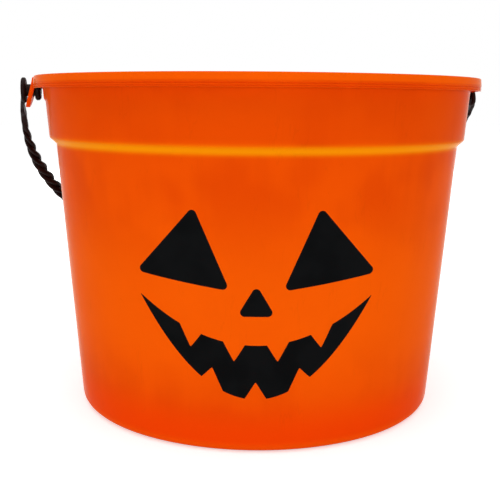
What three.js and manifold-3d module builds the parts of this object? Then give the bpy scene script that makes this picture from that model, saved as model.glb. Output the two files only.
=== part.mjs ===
// Round plastic treat pail with a rope-look swing handle and a printed pumpkin face.
// Units are millimetres and +Z is up. The origin is the middle of the base, on the
// surface that the pail stands on. The two ears lie on the X axis. The handle hangs
// at the back, which is +Y. The printed face looks to the front, a little off -Y.

import * as THREE from "three";
import { mergeVertices } from "three/addons/utils/BufferGeometryUtils.js";
import Module from "manifold-3d";

const wasm = await Module();
wasm.setup();

// Pail wall, driving sizes
const pailHeight = 140;
const rimRadius = 95;
const wallThickness = 1.4;
const rimOverhang = 4;
const bandFlare = 1.85;
const ledgeStep = 2.7;
const ledgeRise = 2.45;
const ledgeDrop = 27.6;
const lowerWallFlare = 8.7;
const ledgeFootRounding = 1.8;
const bandFootRounding = 1;

// Base, driving sizes
const baseRounding = 5.6;
const footRecess = 1.6;
const footRingWidth = 6;
const footRingSlope = 1;

// Rim, driving sizes
const rimTopThickness = 1.2;
const skirtThickness = 1.2;
const skirtDrop = 5;
const rimEdgeRounding = 0.6;
const skirtEdgeRounding = 0.3;
const grooveDepth = 0.25;
const grooveWidth = 0.5;
const grooveRise = 1;

// Ears and the pads behind them, driving sizes
const earHalfWidth = 4.8;
const earEndReach = 7.1;
const earThickness = 1.5;
const earTopDrop = 0.5;
const earBulge = 0.35;
const earLean = 0.22;
const earCurl = 0.004;
const padHalfWidth = 6.5;
const padHeight = 9.6;
const padProud = 0.6;
const padChamfer = 1.6;

// Handle ends, driving sizes
const pivotDrop = 5.8;
const studRadius = 2.2;
const headRadius = 4.2;
const headThickness = 2.3;
const headTipTaper = 0.7;
const headEdgeChamfer = 0.5;
const headSlotWidth = 0.9;
const headSlotDepth = 1.3;
const headSlotTurn = 14;
const eyeRadius = 5.3;
const eyeThickness = 1.75;
const eyeEdgeRounding = 0.75;

// Handle strap and rope grip, driving sizes
const handleReachPastRim = 25.5;
const bulgeDrop = 20;
const strapHalfWidth = 3;
const strapThickness = 1.5;
const strapInset = 0.05;
const strapSquareness = 0.4;
const strapEndLength = 9.5;
const neckThickness = 2.5;
const neckHalfWidth = 1.6;
const neckEndLength = 15;
const ropeStartLength = 12;
const ropeFullLength = 55;
const ropeNeckRadius = 1.5;
const ropeRadius = 2.8;
const strandLead = 22;
const strandCentreShare = 0.52;

// Running clearances
const holeClearance = 0.4;
const headClearance = 0.35;
const eyeClearance = 0.35;
const restClearance = 0.4;

// Printed face, driving sizes as seen from the front
const faceTurn = 8.5;
const faceHeight = 60;
const printThickness = 0.3;
const printGap = 0.2;
const eyePrintOffset = 27;
const eyePrintRise = 20;
const eyePrintWidth = 35;
const eyePrintHeight = 28;
const eyePrintSlant = 5;
const nosePrintRise = 0;
const nosePrintWidth = 14;
const nosePrintHeight = 12;
const mouthRise = -17;
const mouthHalfWidth = 43;
const mouthDepth = 21;
const mouthTopCurve = 17;
const toothWidth = 8;
const toothDepth = 7;
const upperToothPlaces = [-24, -8, 8, 24];
const lowerToothPlaces = [-16, 0, 16];
const toothTipRounding = 0.5;
const printCornerRounding = 1.6;

// Fineness of the faceted surfaces
const pailSegments = 72;
const roundSegments = 20;
const arcStep = Math.PI / 8;
const sectionPoints = 12;
const stepsPerLead = 10;
const lineDivisions = 2000;
const earCurveSteps = 6;
const mouthSteps = 10;

// Sizes that follow from the driving sizes
const skirtBottom = pailHeight - skirtDrop;
const soffitHeight = pailHeight - rimTopThickness;
const skirtInnerRadius = rimRadius - skirtThickness;
const bandTopRadius = rimRadius - rimOverhang;
const bandFootRadius = bandTopRadius - bandFlare;
const ledgeFootRadius = bandFootRadius - ledgeStep;
const baseConeRadius = ledgeFootRadius - lowerWallFlare;
const ledgeFootHeight = pailHeight - ledgeDrop;
const bandFootHeight = ledgeFootHeight + ledgeRise;
const wallSlope = lowerWallFlare / ledgeFootHeight;
const bandSlope = bandFlare / (soffitHeight - bandFootHeight);
const floorHeight = footRecess + wallThickness;
const ledgeAngle = Math.atan2(ledgeRise, ledgeStep);
const innerLedgeLift = (wallThickness * (1 - Math.sin(ledgeAngle))) / Math.cos(ledgeAngle);
const pivotHeight = pailHeight - pivotDrop;
const earDrop = pivotDrop + earEndReach;
const handleReach = rimRadius + handleReachPastRim;

// Outer radius of the lower wall at a height
const lowerWallRadius = (height) => baseConeRadius + wallSlope * height;

// Outer radius of the band above the ledge at a height
const bandRadius = (height) => bandFootRadius + bandSlope * (height - bandFootHeight);

// Outer radius of an ear at a depth below the rim's top: it leans out and curls as it goes down
const earRadius = (drop) => rimRadius + earBulge + earLean * drop + earCurl * drop * drop;

// Places along the pivot line, measured out from the middle of the pail
const headOuterPlace = rimRadius - headClearance;
const headInnerPlace = headOuterPlace - headThickness;
const pocketFloorPlace = headOuterPlace + headClearance / 2;
const eyeInnerPlace = earRadius(pivotDrop + eyeRadius) + eyeClearance;
const eyeOuterPlace = eyeInnerPlace + eyeThickness;

// Turns a corner list into outline points. A corner is [x, y] or [x, y, radius], and one with
// a radius becomes an arc that touches both of its sides.
function roundCorners(corners, closed) {
  const points = [];
  const count = corners.length;
  corners.forEach(([x, y, radius = 0], index) => {
    const atEnd = !closed && (index === 0 || index === count - 1);
    if (radius === 0 || atEnd) {
      points.push(new THREE.Vector2(x, y));
      return;
    }
    const corner = new THREE.Vector2(x, y);
    const before = corners[(index + count - 1) % count];
    const after = corners[(index + 1) % count];
    const back = new THREE.Vector2(before[0] - x, before[1] - y);
    const ahead = new THREE.Vector2(after[0] - x, after[1] - y);
    const room = 0.45 * Math.min(back.length(), ahead.length());
    back.normalize();
    ahead.normalize();
    const halfAngle = Math.acos(back.dot(ahead)) / 2;
    const reach = Math.min(radius / Math.tan(halfAngle), room);
    const arcRadius = reach * Math.tan(halfAngle);
    const middle = back.clone().add(ahead).normalize();
    const centre = corner.clone().addScaledVector(middle, arcRadius / Math.sin(halfAngle));
    const start = corner.clone().addScaledVector(back, reach).sub(centre);
    const end = corner.clone().addScaledVector(ahead, reach).sub(centre);
    const sweep = Math.atan2(start.cross(end), start.dot(end));
    const steps = Math.max(2, Math.ceil(Math.abs(sweep) / arcStep));
    for (let step = 0; step <= steps; step += 1) {
      const turn = (sweep * step) / steps;
      points.push(start.clone().rotateAround(new THREE.Vector2(), turn).add(centre));
    }
  });
  return points;
}

// Makes a solid from a closed geometry. Shared corners are merged, triangles that the merging
// flattened are dropped, and an inside-out mesh is turned.
function toSolid(geometry) {
  const bare = geometry.clone();
  bare.deleteAttribute("normal");
  bare.deleteAttribute("uv");
  const merged = mergeVertices(bare, 1e-4);
  const source = merged.index.array;
  const kept = [];
  for (let i = 0; i < source.length; i += 3) {
    const [a, b, c] = [source[i], source[i + 1], source[i + 2]];
    if (a !== b && b !== c && c !== a) {
      kept.push(a, b, c);
    }
  }
  const vertProperties = new Float32Array(merged.attributes.position.array);
  const makeSolid = (indices) => {
    const triVerts = new Uint32Array(indices);
    return new wasm.Manifold(new wasm.Mesh({ numProp: 3, vertProperties, triVerts }));
  };
  const solid = makeSolid(kept);
  return solid.volume() > 0 ? solid : makeSolid(kept.reverse());
}

// Gives a solid back as a geometry with flat shading
function toGeometry(solid) {
  const { vertProperties, triVerts } = solid.getMesh();
  const geometry = new THREE.BufferGeometry();
  geometry.setAttribute("position", new THREE.BufferAttribute(vertProperties, 3));
  geometry.setIndex(new THREE.BufferAttribute(triVerts, 1));
  return geometry;
}

// Turns an outline of (radius, height) points round the Z axis
function turnedSolid(points) {
  return toSolid(new THREE.LatheGeometry(points, pailSegments).rotateX(Math.PI / 2));
}

// Turns an outline of (radius, place) points round the X axis
function turnedAcross(points, side) {
  const geometry = new THREE.LatheGeometry(points, roundSegments).rotateZ(-Math.PI / 2);
  return toSolid(side > 0 ? geometry : geometry.rotateZ(Math.PI));
}

// A cylinder along the X axis at pivot height, between two places on one side of the pail
function crossCylinder(radius, from, to, side) {
  const geometry = new THREE.CylinderGeometry(radius, radius, to - from, roundSegments);
  geometry.rotateZ(Math.PI / 2);
  geometry.translate((side * (from + to)) / 2, 0, pivotHeight);
  return toSolid(geometry);
}

// The pail's shell: recessed base and foot ring, flared lower wall, ledge, upper band, and a
// rim that turns out and down as a skirt with a fine groove near its lower edge
function makeShell() {
  const grooveMiddle = skirtBottom + grooveRise;
  const footOuter = baseConeRadius - baseRounding;
  const footInner = footOuter - footRingWidth;
  const innerBase = baseConeRadius - wallThickness;
  const corners = [
    [0, footRecess],
    [footInner - footRingSlope, footRecess],
    [footInner, 0],
    [baseConeRadius, 0, baseRounding],
    [ledgeFootRadius, ledgeFootHeight, ledgeFootRounding],
    [bandFootRadius, bandFootHeight, bandFootRounding],
    [bandTopRadius, soffitHeight],
    [skirtInnerRadius, soffitHeight],
    [skirtInnerRadius, skirtBottom],
    [rimRadius, skirtBottom, skirtEdgeRounding],
    [rimRadius, grooveMiddle - grooveWidth / 2],
    [rimRadius - grooveDepth, grooveMiddle],
    [rimRadius, grooveMiddle + grooveWidth / 2],
    [rimRadius, pailHeight, rimEdgeRounding],
    [bandTopRadius - wallThickness, pailHeight, rimEdgeRounding],
    [bandFootRadius - wallThickness, bandFootHeight + innerLedgeLift, ledgeFootRounding],
    [ledgeFootRadius - wallThickness, ledgeFootHeight + innerLedgeLift, bandFootRounding],
    [innerBase + wallSlope * floorHeight, floorHeight, baseRounding - wallThickness],
    [0, floorHeight],
  ];
  return turnedSolid(roundCorners(corners, false));
}

// Both ears: a ring whose section leans out and curls, kept only inside a round-ended tab
function makeEars() {
  const outer = [];
  const inner = [];
  for (let step = 0; step <= earCurveSteps; step += 1) {
    const drop = earTopDrop + ((earDrop - earTopDrop) * step) / earCurveSteps;
    outer.push(new THREE.Vector2(earRadius(drop), pailHeight - drop));
    const lower = skirtDrop + ((earDrop - skirtDrop) * step) / earCurveSteps;
    inner.unshift(new THREE.Vector2(earRadius(lower) - earThickness, pailHeight - lower));
  }
  const insideSkirt = rimRadius - skirtThickness / 2;
  const rootHeight = skirtBottom + skirtEdgeRounding;
  const root = [
    new THREE.Vector2(earRadius(skirtDrop) - earThickness, rootHeight),
    new THREE.Vector2(insideSkirt, rootHeight),
    new THREE.Vector2(insideSkirt, pailHeight - earTopDrop),
  ];
  const ring = turnedSolid([...outer, ...inner, ...root, outer[0].clone()]);
  const tab = new THREE.Shape();
  tab.moveTo(-earHalfWidth, pivotDrop);
  tab.absellipse(0, 0, earHalfWidth, earEndReach, Math.PI, 2 * Math.PI, false, 0);
  tab.lineTo(earHalfWidth, pivotDrop);
  tab.closePath();
  const length = 2 * (rimRadius + earDrop);
  const prism = new THREE.ExtrudeGeometry(tab, { depth: length, bevelEnabled: false });
  prism.translate(0, 0, -length / 2);
  prism.rotateX(Math.PI / 2);
  prism.rotateZ(Math.PI / 2);
  prism.translate(0, 0, pivotHeight);
  return ring.intersect(toSolid(prism));
}

// Both pads: low thickenings of the band behind the ears, bevelled at their lower edge
function makePads() {
  const top = soffitHeight + rimTopThickness / 2;
  const bottom = pailHeight - padHeight;
  const shoulder = bottom + padChamfer;
  const inset = wallThickness / 2;
  const section = [
    new THREE.Vector2(bandRadius(top) + padProud, top),
    new THREE.Vector2(bandRadius(top) - inset, top),
    new THREE.Vector2(bandRadius(bottom) - inset, bottom),
    new THREE.Vector2(bandRadius(shoulder) + padProud, shoulder),
    new THREE.Vector2(bandRadius(top) + padProud, top),
  ];
  const strip = new THREE.BoxGeometry(2 * rimRadius, 2 * padHalfWidth, 2 * padHeight);
  strip.translate(0, 0, pailHeight - padHeight / 2);
  return turnedSolid(section).intersect(toSolid(strip));
}

// The pail in one piece. Behind each ear the skirt is cut away for the handle's head, and each
// ear has a hole for the handle's stud.
function makePail() {
  let pail = makeShell().add(makeEars()).add(makePads());
  for (const side of [-1, 1]) {
    const pocketStart = bandTopRadius + padProud + headClearance;
    const pocketRadius = headRadius + headClearance;
    const holeEnd = earRadius(earDrop) + earThickness;
    const holeRadius = studRadius + holeClearance;
    pail = pail.subtract(crossCylinder(pocketRadius, pocketStart, pocketFloorPlace, side));
    pail = pail.subtract(crossCylinder(holeRadius, pocketStart, holeEnd, side));
  }
  return pail;
}

// Half-way line of the handle in its own plane: x across the pail, drop down from the pivot
// line. It is half an ellipse whose widest place lies a little below the pivot line.
const gripHalfWidthAtPivot = eyeOuterPlace - strapInset - neckThickness / 2;
const ellipseDrop = handleReach - bulgeDrop;
const ellipseHalfWidth = gripHalfWidthAtPivot / Math.sqrt(1 - (bulgeDrop / ellipseDrop) ** 2);
const ellipseStart = Math.asin(bulgeDrop / ellipseDrop);

class HandleLine extends THREE.Curve {
  getPoint(t, target = new THREE.Vector3()) {
    const angle = -ellipseStart + t * (Math.PI + 2 * ellipseStart);
    const across = ellipseHalfWidth * Math.cos(angle);
    return target.set(across, 0, -bulgeDrop - ellipseDrop * Math.sin(angle));
  }
}

// Smooth change from 0 to 1 between two lengths
const ease = (length, from, to) => THREE.MathUtils.smoothstep(length, from, to);

// Outline radius of three round strands that touch, as a share of the rope's radius
function strandShare(angle) {
  const third = (2 * Math.PI) / 3;
  const fromTip = Math.abs(angle - third * Math.round(angle / third));
  const side = strandCentreShare * Math.sin(fromTip);
  const along = Math.sqrt(Math.max(0, (1 - strandCentreShare) ** 2 - side ** 2));
  return strandCentreShare * Math.cos(fromTip) + along;
}

// One point of the handle's section: out is away from the pail's middle, wide is along Y. The
// flat strap at each end thickens to a neck and grows into the twisted rope.
function sectionPoint(length, twist, index) {
  const angle = (2 * Math.PI * index) / sectionPoints;
  const turned = angle + twist;
  const toNeck = ease(length, strapEndLength, neckEndLength);
  const thickness = THREE.MathUtils.lerp(strapThickness, neckThickness, toNeck);
  const halfWidth = THREE.MathUtils.lerp(strapHalfWidth, neckHalfWidth, toNeck);
  const squared = (value) => Math.sign(value) * Math.abs(value) ** strapSquareness;
  const flatOut = (thickness / 2) * squared(Math.cos(turned));
  const flatWide = halfWidth * squared(Math.sin(turned));
  const growth = ease(length, ropeStartLength, ropeFullLength);
  const radius = THREE.MathUtils.lerp(ropeNeckRadius, ropeRadius, growth) * strandShare(angle);
  const toRope = ease(length, ropeStartLength, ropeStartLength + strandLead);
  const out = THREE.MathUtils.lerp(flatOut, radius * Math.cos(turned), toRope);
  const wide = THREE.MathUtils.lerp(flatWide, radius * Math.sin(turned), toRope);
  return [out + (neckThickness - thickness) / 2, wide];
}

// The strap, neck and rope: the section carried along the handle line from eye to eye
function makeRope() {
  const line = new HandleLine();
  line.arcLengthDivisions = lineDivisions;
  const fullLength = line.getLength();
  const rings = Math.round((fullLength / strandLead) * stepsPerLead);
  const twistedLength = fullLength - 2 * ropeStartLength;
  const turns = Math.round((twistedLength / strandLead) * sectionPoints) / sectionPoints;
  const positions = [];
  const indices = [];
  for (let ring = 0; ring <= rings; ring += 1) {
    const share = ring / rings;
    const centre = line.getPointAt(share);
    const along = line.getTangentAt(share);
    const outward = new THREE.Vector3(-along.z, 0, along.x);
    const fromStart = share * fullLength;
    const fromNearEnd = Math.min(fromStart, fullLength - fromStart);
    const twistShare = (fromStart - ropeStartLength) / twistedLength;
    const twist = 2 * Math.PI * turns * THREE.MathUtils.clamp(twistShare, 0, 1);
    for (let index = 0; index < sectionPoints; index += 1) {
      const [out, wide] = sectionPoint(fromNearEnd, twist, index);
      const point = centre.clone().addScaledVector(outward, out);
      positions.push(point.x, point.y + wide, point.z);
    }
  }
  for (let ring = 0; ring < rings; ring += 1) {
    for (let index = 0; index < sectionPoints; index += 1) {
      const next = (index + 1) % sectionPoints;
      const a = ring * sectionPoints + index;
      const b = ring * sectionPoints + next;
      const c = a + sectionPoints;
      const d = b + sectionPoints;
      indices.push(a, b, d, a, d, c);
    }
  }
  const last = rings * sectionPoints;
  for (let index = 1; index < sectionPoints - 1; index += 1) {
    indices.push(0, index + 1, index, last, last + index, last + index + 1);
  }
  const geometry = new THREE.BufferGeometry();
  geometry.setAttribute("position", new THREE.Float32BufferAttribute(positions, 3));
  geometry.setIndex(indices);
  return toSolid(geometry);
}

// One end of the handle: the round eye, the stud through the ear, and the slotted snap head
function makeHandleEnd(side) {
  const corners = [
    [0, headInnerPlace],
    [headRadius - headTipTaper, headInnerPlace],
    [headRadius, headInnerPlace + headTipTaper],
    [headRadius, headOuterPlace - headEdgeChamfer],
    [headRadius - headEdgeChamfer, headOuterPlace],
    [studRadius, headOuterPlace],
    [studRadius, eyeInnerPlace],
    [eyeRadius, eyeInnerPlace, eyeEdgeRounding],
    [eyeRadius, eyeOuterPlace, eyeEdgeRounding],
    [0, eyeOuterPlace],
  ];
  let end = turnedAcross(roundCorners(corners, false), side);
  for (const turn of [0, 90]) {
    const slot = new THREE.BoxGeometry(2 * headSlotDepth, headSlotWidth, 3 * headRadius);
    slot.rotateX(THREE.MathUtils.degToRad(headSlotTurn + turn));
    slot.translate(side * headInnerPlace, 0, 0);
    end = end.subtract(toSolid(slot));
  }
  return end;
}

// The handle in one piece, made hanging straight down from its pivot line at the origin
function makeHandle() {
  return makeRope().add(makeHandleEnd(-1)).add(makeHandleEnd(1));
}

// How far the handle leans back from straight down when its middle rests on the back wall
function restLean() {
  const wallAngle = Math.atan(wallSlope);
  const standOff = (ropeRadius + restClearance) / Math.cos(wallAngle);
  const reachNeeded = lowerWallRadius(pivotHeight) + standOff;
  return Math.asin(Math.min(1, (reachNeeded * Math.cos(wallAngle)) / handleReach)) - wallAngle;
}

// A print on the lower wall: a thin ring just off the wall, kept only inside the print's
// outline, which is carried in from the front
function makePrint(outline) {
  const bottom = baseRounding;
  const top = ledgeFootHeight - ledgeFootRounding;
  const outside = printGap + printThickness;
  const section = [
    new THREE.Vector2(lowerWallRadius(bottom) + printGap, bottom),
    new THREE.Vector2(lowerWallRadius(bottom) + outside, bottom),
    new THREE.Vector2(lowerWallRadius(top) + outside, top),
    new THREE.Vector2(lowerWallRadius(top) + printGap, top),
    new THREE.Vector2(lowerWallRadius(bottom) + printGap, bottom),
  ];
  const shape = new THREE.Shape(roundCorners(outline, true));
  const prism = new THREE.ExtrudeGeometry(shape, { depth: rimRadius, bevelEnabled: false });
  prism.rotateX(Math.PI / 2);
  prism.translate(0, 0, faceHeight);
  prism.rotateZ(-THREE.MathUtils.degToRad(faceTurn));
  return turnedSolid(section).intersect(toSolid(prism));
}

// Outline of one eye print, a triangle whose inner lower corner drops a little
function eyeOutline(side) {
  const half = eyePrintWidth / 2;
  const middle = side * eyePrintOffset;
  const base = eyePrintRise - eyePrintHeight / 2;
  const corners = [
    [middle - side * half, base - eyePrintSlant / 2, printCornerRounding],
    [middle + side * half, base + eyePrintSlant / 2, printCornerRounding],
    [middle - (side * half) / 4, base + eyePrintHeight, printCornerRounding],
  ];
  return side > 0 ? corners : corners.reverse();
}

// Outline of the nose print, a small triangle
function noseOutline() {
  return [
    [-nosePrintWidth / 2, nosePrintRise - nosePrintHeight / 2, printCornerRounding],
    [nosePrintWidth / 2, nosePrintRise - nosePrintHeight / 2, printCornerRounding],
    [0, nosePrintRise + nosePrintHeight / 2, printCornerRounding],
  ];
}

// One edge of the mouth from left to right: a parabola that is deepest in the middle and ends
// at the mouth's corners, broken by pointed teeth that reach in by depth
function mouthEdge(middleRise, toothPlaces, depth) {
  const endRise = mouthRise + mouthTopCurve;
  const curve = (across) => {
    const share = (across / mouthHalfWidth) ** 2;
    return THREE.MathUtils.lerp(middleRise, endRise, share);
  };
  const points = [];
  for (let step = 1; step < mouthSteps; step += 1) {
    const across = mouthHalfWidth * (-1 + (2 * step) / mouthSteps);
    const clear = toothPlaces.every((place) => Math.abs(place - across) > toothWidth * 0.6);
    if (clear) {
      points.push([across, curve(across)]);
    }
  }
  for (const place of toothPlaces) {
    const left = place - toothWidth / 2;
    const right = place + toothWidth / 2;
    points.push([left, curve(left)]);
    points.push([place, curve(place) + depth, toothTipRounding]);
    points.push([right, curve(right)]);
  }
  return points.sort((a, b) => a[0] - b[0]);
}

// Outline of the mouth print, a wide grin with pointed teeth above and below
function mouthOutline() {
  const endRise = mouthRise + mouthTopCurve;
  const lower = mouthEdge(mouthRise - mouthDepth, lowerToothPlaces, toothDepth);
  const upper = mouthEdge(mouthRise, upperToothPlaces, -toothDepth);
  return [[-mouthHalfWidth, endRise], ...lower, [mouthHalfWidth, endRise], ...upper.reverse()];
}

// Materials
const orangePlastic = { color: 0xf04a05, roughness: 0.3, metalness: 0 };
const blackPlastic = { color: 0x17100f, roughness: 0.45, metalness: 0 };
const blackPrint = { color: 0x0e0f10, roughness: 0.6, metalness: 0 };

// Names a solid and gives it its own material
function makePiece(name, solid, look) {
  const piece = new THREE.Mesh(toGeometry(solid), new THREE.MeshStandardMaterial(look));
  piece.name = name;
  return piece;
}

// The whole basket
const basket = new THREE.Group();
basket.add(makePiece("pail_body", makePail(), orangePlastic));
basket.add(makePiece("face_left_eye", makePrint(eyeOutline(-1)), blackPrint));
basket.add(makePiece("face_right_eye", makePrint(eyeOutline(1)), blackPrint));
basket.add(makePiece("face_nose", makePrint(noseOutline()), blackPrint));
basket.add(makePiece("face_mouth", makePrint(mouthOutline()), blackPrint));

const handle = makePiece("bail_handle", makeHandle(), blackPlastic);
handle.position.set(0, 0, pivotHeight);
handle.rotation.x = restLean();
basket.add(handle);

export default basket;
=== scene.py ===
"""Looks of the treat pail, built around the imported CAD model.

The pail is one orange moulding with its ears, the handle is one black moulding with a rope look,
and the face is four films of black ink on the lower wall. Sizes are in millimetres and become
metres when a mesh is made. +Z is up, the ears lie on X, and the handle hangs at the back, +Y.
"""

import logging
import math
from dataclasses import dataclass
from enum import Enum
from typing import Any

import bpy
import numpy as np
from mathutils import Matrix, Vector


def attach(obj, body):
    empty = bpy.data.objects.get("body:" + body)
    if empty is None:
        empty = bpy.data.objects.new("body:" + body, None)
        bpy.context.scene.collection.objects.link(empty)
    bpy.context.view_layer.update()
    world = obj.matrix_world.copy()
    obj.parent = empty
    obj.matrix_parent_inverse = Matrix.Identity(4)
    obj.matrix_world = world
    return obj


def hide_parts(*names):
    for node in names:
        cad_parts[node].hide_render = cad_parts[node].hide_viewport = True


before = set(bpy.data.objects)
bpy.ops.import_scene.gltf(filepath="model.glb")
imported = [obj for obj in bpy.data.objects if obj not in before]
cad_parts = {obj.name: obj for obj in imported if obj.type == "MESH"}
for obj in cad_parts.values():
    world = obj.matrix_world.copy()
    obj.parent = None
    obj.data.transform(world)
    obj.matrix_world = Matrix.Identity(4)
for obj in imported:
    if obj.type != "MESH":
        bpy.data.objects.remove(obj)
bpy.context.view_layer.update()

MM = 0.001
FULL_TURN = 2 * math.pi
TINY = 1e-6
LOG = logging.getLogger("treat_pail")
Triple = tuple[float, float, float]
Body = tuple[np.ndarray, list[np.ndarray]]


class Side(Enum):
    """The two ends of the pivot line, as the sign of X."""

    LEFT = -1
    RIGHT = 1


class Shine(Enum):
    """Whether a softbox shows in glossy surfaces."""

    SEEN = "seen in gloss"
    UNSEEN = "light only"


# Mesh tools


def smooth_step(values: np.ndarray, start: float, end: float) -> np.ndarray:
    """Smooth change from 0 at start to 1 at end: 3t^2 - 2t^3 with t the share of the way.

    Args:
        values: Where the change is read.
        start: Value at which the result is 0.
        end: Value at which the result is 1.

    Returns:
        The result for each value, between 0 and 1.
    """
    share = np.clip((values - start) / (end - start), 0, 1)
    return share * share * (3 - 2 * share)


def rounded_outline(corners: list[tuple[float, ...]], closed: bool, arc_step: float = 0.2,
                    most_room: float = 0.45) -> np.ndarray:
    """Outline points of a corner list, in which a corner with a radius becomes an arc.

    The arc touches both sides of its corner. Its centre lies on the line that halves the corner,
    radius / sin(half angle) away, and it starts radius / tan(half angle) along each side.

    Args:
        corners: Each corner as (x, y) or (x, y, radius).
        closed: Whether the last corner joins the first.
        arc_step: Largest turn between two points of an arc, in radians.
        most_room: Largest share of a side that one arc takes up.

    Returns:
        The points, one (x, y) row each.
    """
    points: list[np.ndarray] = []
    count = len(corners)
    for index, corner in enumerate(corners):
        here = np.array(corner[:2], float)
        radius = corner[2] if len(corner) > 2 else 0.0
        if radius == 0 or (not closed and index in (0, count - 1)):
            points.append(here[None, :])
            continue
        back = np.array(corners[index - 1][:2], float) - here
        ahead = np.array(corners[(index + 1) % count][:2], float) - here
        room = most_room * min(np.linalg.norm(back), np.linalg.norm(ahead))
        back /= np.linalg.norm(back)
        ahead /= np.linalg.norm(ahead)
        half_angle = math.acos(float(np.clip(back @ ahead, -1, 1))) / 2
        reach = min(radius / math.tan(half_angle), room)
        arc_radius = reach * math.tan(half_angle)
        middle = (back + ahead) / np.linalg.norm(back + ahead)
        centre = here + middle * arc_radius / math.sin(half_angle)
        start = here + back * reach - centre
        end = here + ahead * reach - centre
        sweep = math.atan2(start[0] * end[1] - start[1] * end[0], float(start @ end))
        turn = np.linspace(0, sweep, max(3, math.ceil(abs(sweep) / arc_step) + 1))
        cos, sin = np.cos(turn), np.sin(turn)
        arc = np.stack([start[0] * cos - start[1] * sin, start[0] * sin + start[1] * cos], axis=1)
        points.append(centre + arc)
    return np.vstack(points)


def refined(outline: np.ndarray, spacing: np.ndarray | float) -> np.ndarray:
    """Splits the long stretches of an open outline into equal steps.

    Args:
        outline: The points, one row each.
        spacing: Longest step, one value for all stretches or one for each.

    Returns:
        The outline with the added points.
    """
    lengths = np.linalg.norm(np.diff(outline, axis=0), axis=1)
    counts = np.maximum(1, np.ceil(lengths / spacing - TINY).astype(int))
    starts = np.repeat(np.arange(len(counts)), counts)
    steps = np.arange(counts.sum()) - np.repeat(np.cumsum(counts) - counts, counts)
    share = (steps / counts[starts])[:, None]
    inner = outline[starts] * (1 - share) + outline[starts + 1] * share
    return np.vstack([inner, outline[-1:]])


def grid_quads(rows: int, columns: int, wrap_rows: bool) -> np.ndarray:
    """Quads of a grid of points that is numbered row by row and closed across its columns.

    Quad (i, j) joins the points (i, j), (i, j + 1), (i + 1, j + 1) and (i + 1, j).

    Args:
        rows: Number of rows.
        columns: Number of points in a row.
        wrap_rows: Whether the last row joins the first.

    Returns:
        Four point numbers for each quad.
    """
    starts = np.arange(rows if wrap_rows else rows - 1)
    row, column = (grid.ravel() for grid in np.meshgrid(starts, np.arange(columns), indexing="ij"))
    below, beside = (row + 1) % rows, (column + 1) % columns
    return np.stack([row * columns + column, row * columns + beside, below * columns + beside,
                     below * columns + column], axis=1)


def place_object(name: str, data: bpy.types.ID) -> bpy.types.Object:
    """Makes an object at the origin and links it to the scene.

    Args:
        name: Name of the object.
        data: Its mesh, camera or lamp.

    Returns:
        The new object.
    """
    made = bpy.data.objects.new(name, data)
    bpy.context.scene.collection.objects.link(made)
    return made


def make_piece(name: str, points: np.ndarray, faces: list[np.ndarray], sharp_deg: float) -> bpy.types.Object:
    """Makes an object of points in millimetres, with its faces turned outwards.

    Args:
        name: Name of the piece.
        points: One (x, y, z) row for each point.
        faces: Arrays of quads or triangles.
        sharp_deg: Angle between two faces above which their edge stays sharp.

    Returns:
        The new object, linked to the scene, with its place in its mesh.
    """
    loops = np.concatenate([block.ravel() for block in faces])
    sizes = np.concatenate([np.full(len(block), block.shape[1]) for block in faces])
    mesh = bpy.data.meshes.new(name)
    mesh.vertices.add(len(points))
    mesh.vertices.foreach_set("co", (points * MM).astype(np.float32).ravel())
    mesh.loops.add(len(loops))
    mesh.loops.foreach_set("vertex_index", loops.astype(np.int32))
    mesh.polygons.add(len(sizes))
    mesh.polygons.foreach_set("loop_start", (np.cumsum(sizes) - sizes).astype(np.int32))
    mesh.polygons.foreach_set("loop_total", sizes.astype(np.int32))
    mesh.update(calc_edges=True)
    mesh.validate()
    if signed_volume(points, faces) < 0:
        mesh.flip_normals()
    mesh.polygons.foreach_set("use_smooth", np.ones(len(mesh.polygons), bool))
    mesh.set_sharp_from_angle(angle=math.radians(sharp_deg))
    return place_object(name, mesh)


def signed_volume(points: np.ndarray, faces: list[np.ndarray]) -> float:
    """Volume inside closed faces, the sum of a . (b x c) / 6 over their triangles.

    Args:
        points: One (x, y, z) row for each point.
        faces: Arrays of quads or triangles.

    Returns:
        The volume, below 0 if the faces are turned inwards.
    """
    total = 0.0
    for block in faces:
        for third in range(2, block.shape[1]):
            a, b, c = points[block[:, 0]], points[block[:, third - 1]], points[block[:, third]]
            total += float(np.einsum("ij,ij->i", a, np.cross(b, c)).sum()) / 6
    return total


def capped_tube(rings: np.ndarray, first: np.ndarray, last: np.ndarray) -> Body:
    """Closed surface of rings of points, with a single point closing each end.

    Args:
        rings: Points as (ring, place on the ring, xyz).
        first: The point before the first ring.
        last: The point after the last ring.

    Returns:
        The points and the faces.
    """
    count, columns, _ = rings.shape
    points = np.vstack([rings.reshape(-1, 3), first[None, :], last[None, :]])
    here = np.arange(columns)
    beside = (here + 1) % columns
    start = (count - 1) * columns
    head = np.stack([beside, here, np.full(columns, count * columns)], axis=1)
    tail = np.stack([start + here, start + beside, np.full(columns, count * columns + 1)], axis=1)
    return points, [grid_quads(count, columns, False), head, tail]


def turned_rings(profile: np.ndarray, angles: np.ndarray) -> np.ndarray:
    """Rings of a profile turned round Z: (r cos a, r sin a, z) for each profile point and angle."""
    radius, height = profile[:, 0][:, None], profile[:, 1][:, None]
    return np.stack([radius * np.cos(angles), radius * np.sin(angles), height + 0 * angles], axis=2)


def on_axis_ends(profile: np.ndarray) -> tuple[np.ndarray, np.ndarray]:
    """The first and the last point of a profile that starts and ends on Z."""
    return np.array([0, 0, profile[0, 1]]), np.array([0, 0, profile[-1, 1]])


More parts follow.
